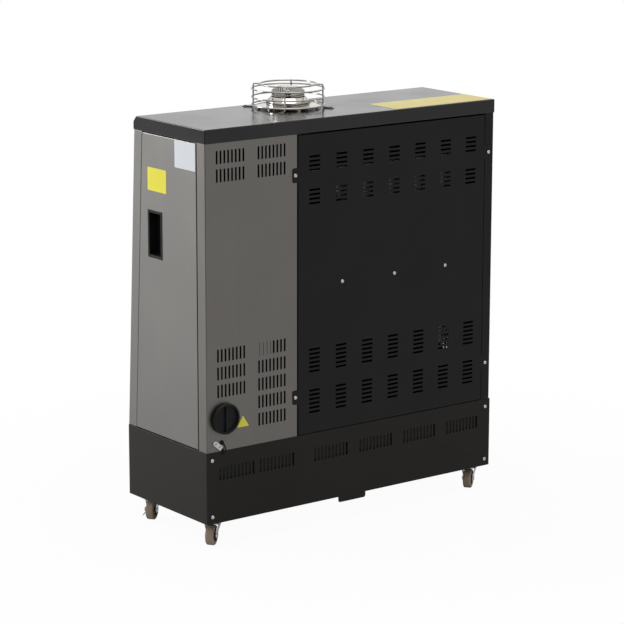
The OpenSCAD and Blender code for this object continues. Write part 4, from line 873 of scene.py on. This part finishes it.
# Fuel filler and sensor
dressNode("filler_neck", "fillerNeck", "casing", "tank_steel", "tankPaint", edge=0.3)
dressNode("cap_seal", "capSeal", "filler_seal", "seal_rubber", "sealRubber", edge=0.3)
dressNode("fuel_cap", "fuelCap", "filler_cap", "black_plastic", "capPlastic", edge=0.9, segments=3)
dressNode("sensor_grommet", "sensorGrommet", "casing", "seal_rubber", "sealRubber", edge=0.3)
dressNode("sensor_lead", "sensorLead", "casing", "seal_rubber", "sealRubber", edge=0)

# Clip: its two dots are dark pins through the white strap
clip = {"pin": 1.6, "pinEdge": 0.2, "stand": 0.6, "sunk": 1.0, "apart": 4.0, "edge": 0.5, "level": 0.05,
    "above": 0.1}


def makeClip(settings):
    piece = copyNode("sensor_clip", "sensorClip")
    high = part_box("sensor_clip")[1]
    strap = high.y - settings["stand"] * mm
    level = high.y - settings["level"] * mm
    tops = [p.center.copy() for p in piece.data.polygons if p.center.y > level]
    spots = []
    for top in tops:
        if all((top - spot).length > settings["apart"] * mm for spot in spots):
            spots.append(top)
    editAll(piece)
    pickFaces(piece, lambda face: face.calc_center_median().y > strap + settings["above"] * mm)
    bpy.ops.mesh.delete(type="FACE")
    bpy.ops.mesh.select_all(action="SELECT")
    bpy.ops.mesh.fill_holes(sides=0)
    leaveEdit()
    softenEdges(piece, settings["edge"] * mm, 3)
    finishPiece(piece, "casing", "white_plastic", "whitePlastic", "sensor_clip")
    depth = (settings["stand"] + settings["sunk"]) * mm
    pin = addCylinder(settings["pin"] * mm, depth, (0, 0, -depth / 2), 32)
    softenEdges(pin, settings["pinEdge"] * mm)
    pins = placeCopies(pin, "clipPins", spots, (0, 1, 0))
    finishPiece(pins, "casing", "black_screw", "screwBlack", "sensor_clip")


makeClip(clip)
print("filler done")

# Casters
frontCorners = ("front_right", "front_left")
corners = ("front_right", "rear_right", "front_left", "rear_left")
wheel = {"radius": 25.0, "width": 20.0, "shoulder": 3.2, "tyreEdge": 0.4, "hub": 15.5, "hubIn": 0.3,
    "lip": 1.2, "dish": 2.5, "boss": 7.5, "bossOut": 0.3, "bore": 3.05, "hubEdge": 0.35, "yaw": 38.0,
    "rim": 0.5, "level": 0.1}


# Tyre ring: a cylinder whose two inset ends are bridged into a bore
def makeTyre(settings):
    piece = addCylinder(settings["radius"] * mm, settings["width"] * mm, vertices=80)
    editAll(piece)
    pickFaces(piece, lambda face: abs(face.normal.z) > facing)
    bpy.ops.mesh.inset(thickness=(settings["radius"] - settings["hub"]) * mm)
    bpy.ops.mesh.bridge_edge_loops()
    outside = (settings["radius"] - settings["rim"]) * mm
    level = settings["level"] * mm
    pickEdges(piece, lambda edge: all(v.co.xy.length > outside for v in edge.verts)
        and abs(edge.verts[0].co.z - edge.verts[1].co.z) < level)
    bpy.ops.mesh.bevel(offset=settings["shoulder"] * mm, segments=6, profile=0.5, clamp_overlap=False)
    leaveEdit()
    softenEdges(piece, settings["tyreEdge"] * mm)
    return piece


# Hub: lip, dished web, boss and bore on both sides
def makeHub(settings):
    width = settings["width"] - 2 * settings["hubIn"]
    piece = addCylinder(settings["hub"] * mm, width * mm, vertices=64)
    editAll(piece)
    pickFaces(piece, lambda face: abs(face.normal.z) > facing)
    bpy.ops.mesh.inset(thickness=settings["lip"] * mm)
    bpy.ops.mesh.extrude_region_shrink_fatten(
        TRANSFORM_OT_shrink_fatten={"value": -settings["dish"] * mm})
    bpy.ops.mesh.inset(thickness=(settings["hub"] - settings["lip"] - settings["boss"]) * mm)
    bpy.ops.mesh.extrude_region_shrink_fatten(
        TRANSFORM_OT_shrink_fatten={"value": (settings["dish"] + settings["bossOut"]) * mm})
    bpy.ops.mesh.inset(thickness=(settings["boss"] - settings["bore"]) * mm)
    bpy.ops.mesh.bridge_edge_loops()
    leaveEdit()
    softenEdges(piece, settings["hubEdge"] * mm)
    return piece


def makeWheels(settings):
    tyre = makeTyre(settings)
    hub = makeHub(settings)
    turned = Matrix.Rotation(math.radians(settings["yaw"]), 4, "Z")
    turned = turned @ Matrix.Rotation(math.pi / 2, 4, "X")
    parts = ((tyre, "tyre", "wheel_rubber", "treadRubber"), (hub, "hub", "grey_plastic", "hubPlastic"))
    for corner in corners:
        low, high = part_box("wheel_" + corner)
        for model, part, slotName, finish in parts:
            piece = twinOf(model, part + "_" + corner, Matrix.Translation((low + high) / 2) @ turned)
            applyPlace(piece)
            finishPiece(piece, "wheel_" + corner, slotName, finish, "wheel_" + corner)
    bpy.data.objects.remove(tyre)
    bpy.data.objects.remove(hub)


makeWheels(wheel)
dressNode("caster_plates", "casterPlates", "casing", "zinc", "zincPlate", edge=0.4)
for corner in corners:
    dressNode("fork_" + corner, "fork_" + corner, "caster_" + corner, "zinc", "zincPlate", edge=0.4)
for corner in frontCorners:
    dressNode("brake_" + corner, "brakeLever_" + corner, "brake_" + corner, "motor_steel", "leverSteel",
        edge=0.4)
print("casters done")


# Bare plates without print. A corner's edge is about as long as the plate is thick.
plateShape = {"corner": 2.0, "edge": 0.1, "cornerLong": 1.5}
plates = {
    "whitePlate": {"low": (448.4, 39.0, 928.0), "high": (448.8, 126.0, 994.0), "body": "door",
        "slot": "white_sign", "finish": "whiteFilm", "node": "door_signs"},
    "yellowPlate": {"low": (448.4, -79.0, 857.0), "high": (448.8, 1.5, 914.0), "body": "door",
        "slot": "yellow_sign", "finish": "yellowFilm", "node": "door_signs"},
    "lidStrip": {"low": (-446.0, 49.0, 1032.5), "high": (-132.0, 161.0, 1032.9), "body": "casing",
        "slot": "yellow_sign", "finish": "stripFilm", "node": "body_signs"},
}


# Rounds a plate's corners and then its rims
def roundPlate(piece, thick, segments):
    editAll(piece, "EDGE")
    longest = thick * plateShape["cornerLong"]
    pickEdges(piece, lambda edge: edge.calc_length() < longest)
    bpy.ops.mesh.bevel(offset=plateShape["corner"] * mm, segments=segments, clamp_overlap=False)
    leaveEdit()
    softenEdges(piece, plateShape["edge"] * mm)


def makePlate(name, settings):
    low = Vector(settings["low"]) * mm
    high = Vector(settings["high"]) * mm
    size = high - low
    bpy.ops.object.select_all(action="DESELECT")
    bpy.ops.mesh.primitive_cube_add(size=1, location=(low + high) / 2, scale=size)
    piece = bpy.context.object
    piece.name = name
    applyPlace(piece)
    roundPlate(piece, min(size), 5)
    return finishPiece(piece, settings["body"], settings["slot"], settings["finish"], settings["node"])


for name, settings in plates.items():
    makePlate(name, settings)

triangle = {"centre": 341.5, "low": 296.0, "width": 35.0, "height": 28.0, "thick": 0.4}


def extentOf(piece):
    points = [v.co for v in piece.data.vertices]
    lows = [min(point[i] for point in points) for i in range(3)]
    highs = [max(point[i] for point in points) for i in range(3)]
    return lows, highs


# Yellow triangle on the rear panel, its base level and its point up
def makeTriangle(settings):
    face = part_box("rear_panel")[1].y
    width = settings["width"] * mm
    thick = settings["thick"] * mm
    piece = addCylinder(width / math.sqrt(3), thick, vertices=3, rotation=(math.pi / 2, 0, 0))
    piece.name = "yellowTriangle"
    lows, highs = extentOf(piece)
    if abs(lows[2]) > abs(highs[2]):
        piece.rotation_euler = (0, math.pi, 0)
        applyPlace(piece)
        lows, highs = extentOf(piece)
    piece.scale = (width / (highs[0] - lows[0]), 1, settings["height"] * mm / (highs[2] - lows[2]))
    applyPlace(piece)
    lows, highs = extentOf(piece)
    piece.location = (settings["centre"] * mm - (lows[0] + width / 2), face - lows[1],
        settings["low"] * mm - lows[2])
    applyPlace(piece)
    roundPlate(piece, thick, 4)
    return finishPiece(piece, "casing", "yellow_sign", "yellowFilm", "body_signs")


makeTriangle(triangle)
print("plates done")

# World: dim for the object, white to the eye and in mirrors
dim = 0.5
world = bpy.data.worlds.new("studio")
bpy.context.scene.world = world
sky = Nodes(world)
camRay = sky.add("ShaderNodeLightPath", output="Is Camera Ray")
glossRay = sky.add("ShaderNodeLightPath", output="Is Glossy Ray")
passRay = sky.add("ShaderNodeLightPath", output="Is Transmission Ray")
seen = sky.add("ShaderNodeMath", {"operation": "ADD", "use_clamp": True},
    {0: camRay + glossRay, 1: passRay})
light = sky.add("ShaderNodeBackground", {}, {"Color": (1, 1, 1, 1), "Strength": dim + seen * (1 - dim)})
sky.add("ShaderNodeOutputWorld", {}, {"Surface": light})

# Lamps, all turned to one point inside the heater
lampAim = (0, 0, 0.55)
lamps = {
    "sideLamp": {"place": (3.15, -3.2, 2.2), "size": 1.8, "power": 132.0},
    "topLamp": {"place": (0.6, 1.2, 4.2), "size": 3.0, "power": 60.0},
}
for name, lamp in lamps.items():
    bpy.ops.object.light_add(type="AREA", location=lamp["place"])
    bulb = bpy.context.object
    bulb.name = name
    bulb.data.energy = lamp["power"]
    bulb.data.size = lamp["size"]
    toward = Vector(lampAim) - Vector(lamp["place"])
    bulb.rotation_euler = toward.to_track_quat("-Z", "Y").to_euler()

# Floor: white to the eye, a little darker near the heater, with the heater's own soft shadow
ground = {"size": 60.0, "tone": 0.62, "mirrored": 0.25, "near": 0.6, "far": 1.6, "nearShade": 0.96}
bpy.ops.object.select_all(action="DESELECT")
bpy.ops.mesh.primitive_plane_add(size=ground["size"], location=(0, 0, 0))
floor = bpy.context.object
floor.name = "studioFloor"
floorPaint, floorNodes = newFinish("floorPaint")
camRay = floorNodes.add("ShaderNodeLightPath", output="Is Camera Ray")
glossRay = floorNodes.add("ShaderNodeLightPath", output="Is Glossy Ray")
seen = floorNodes.maths("MAXIMUM", camRay, glossRay * ground["mirrored"])
distance = floorNodes.add("ShaderNodeVectorMath", {"operation": "LENGTH"},
    {0: floorNodes.place()}, "Value")
shade = floorNodes.remap(distance, ground["near"], ground["far"], ground["nearShade"], 1.0)
matt = floorNodes.add("ShaderNodeBsdfDiffuse", {}, {"Color": rgba(*[ground["tone"]] * 3)})
glow = floorNodes.add("ShaderNodeEmission", {}, {"Color": (1, 1, 1, 1), "Strength": 1.0})
blend = floorNodes.add("ShaderNodeMixShader", {}, {0: seen * shade, 1: matt, 2: glow})
floorNodes.add("ShaderNodeOutputMaterial", {}, {"Surface": blend})
floor.data.materials.append(floorPaint)

# Dark card between camera and heater, seen only in polished metal
card = {"place": (2.1, 2.8, 0.95), "wide": 2.4, "high": 1.8, "tone": 0.01}
bpy.ops.object.select_all(action="DESELECT")
bpy.ops.mesh.primitive_plane_add(size=1, location=card["place"])
darkCard = bpy.context.object
darkCard.name = "darkCard"
darkCard.scale = (card["wide"], card["high"], 1)
darkCard.rotation_euler = (math.radians(90), 0, math.radians(camera["turn"]))
cardPaint, cardNodes = newFinish("cardPaint")
matt = cardNodes.add("ShaderNodeBsdfDiffuse", {}, {"Color": rgba(*[card["tone"]] * 3)})
cardNodes.add("ShaderNodeOutputMaterial", {}, {"Surface": matt})
darkCard.data.materials.append(cardPaint)
darkCard.visible_camera = False
darkCard.visible_diffuse = False
darkCard.visible_shadow = False
print("studio done")
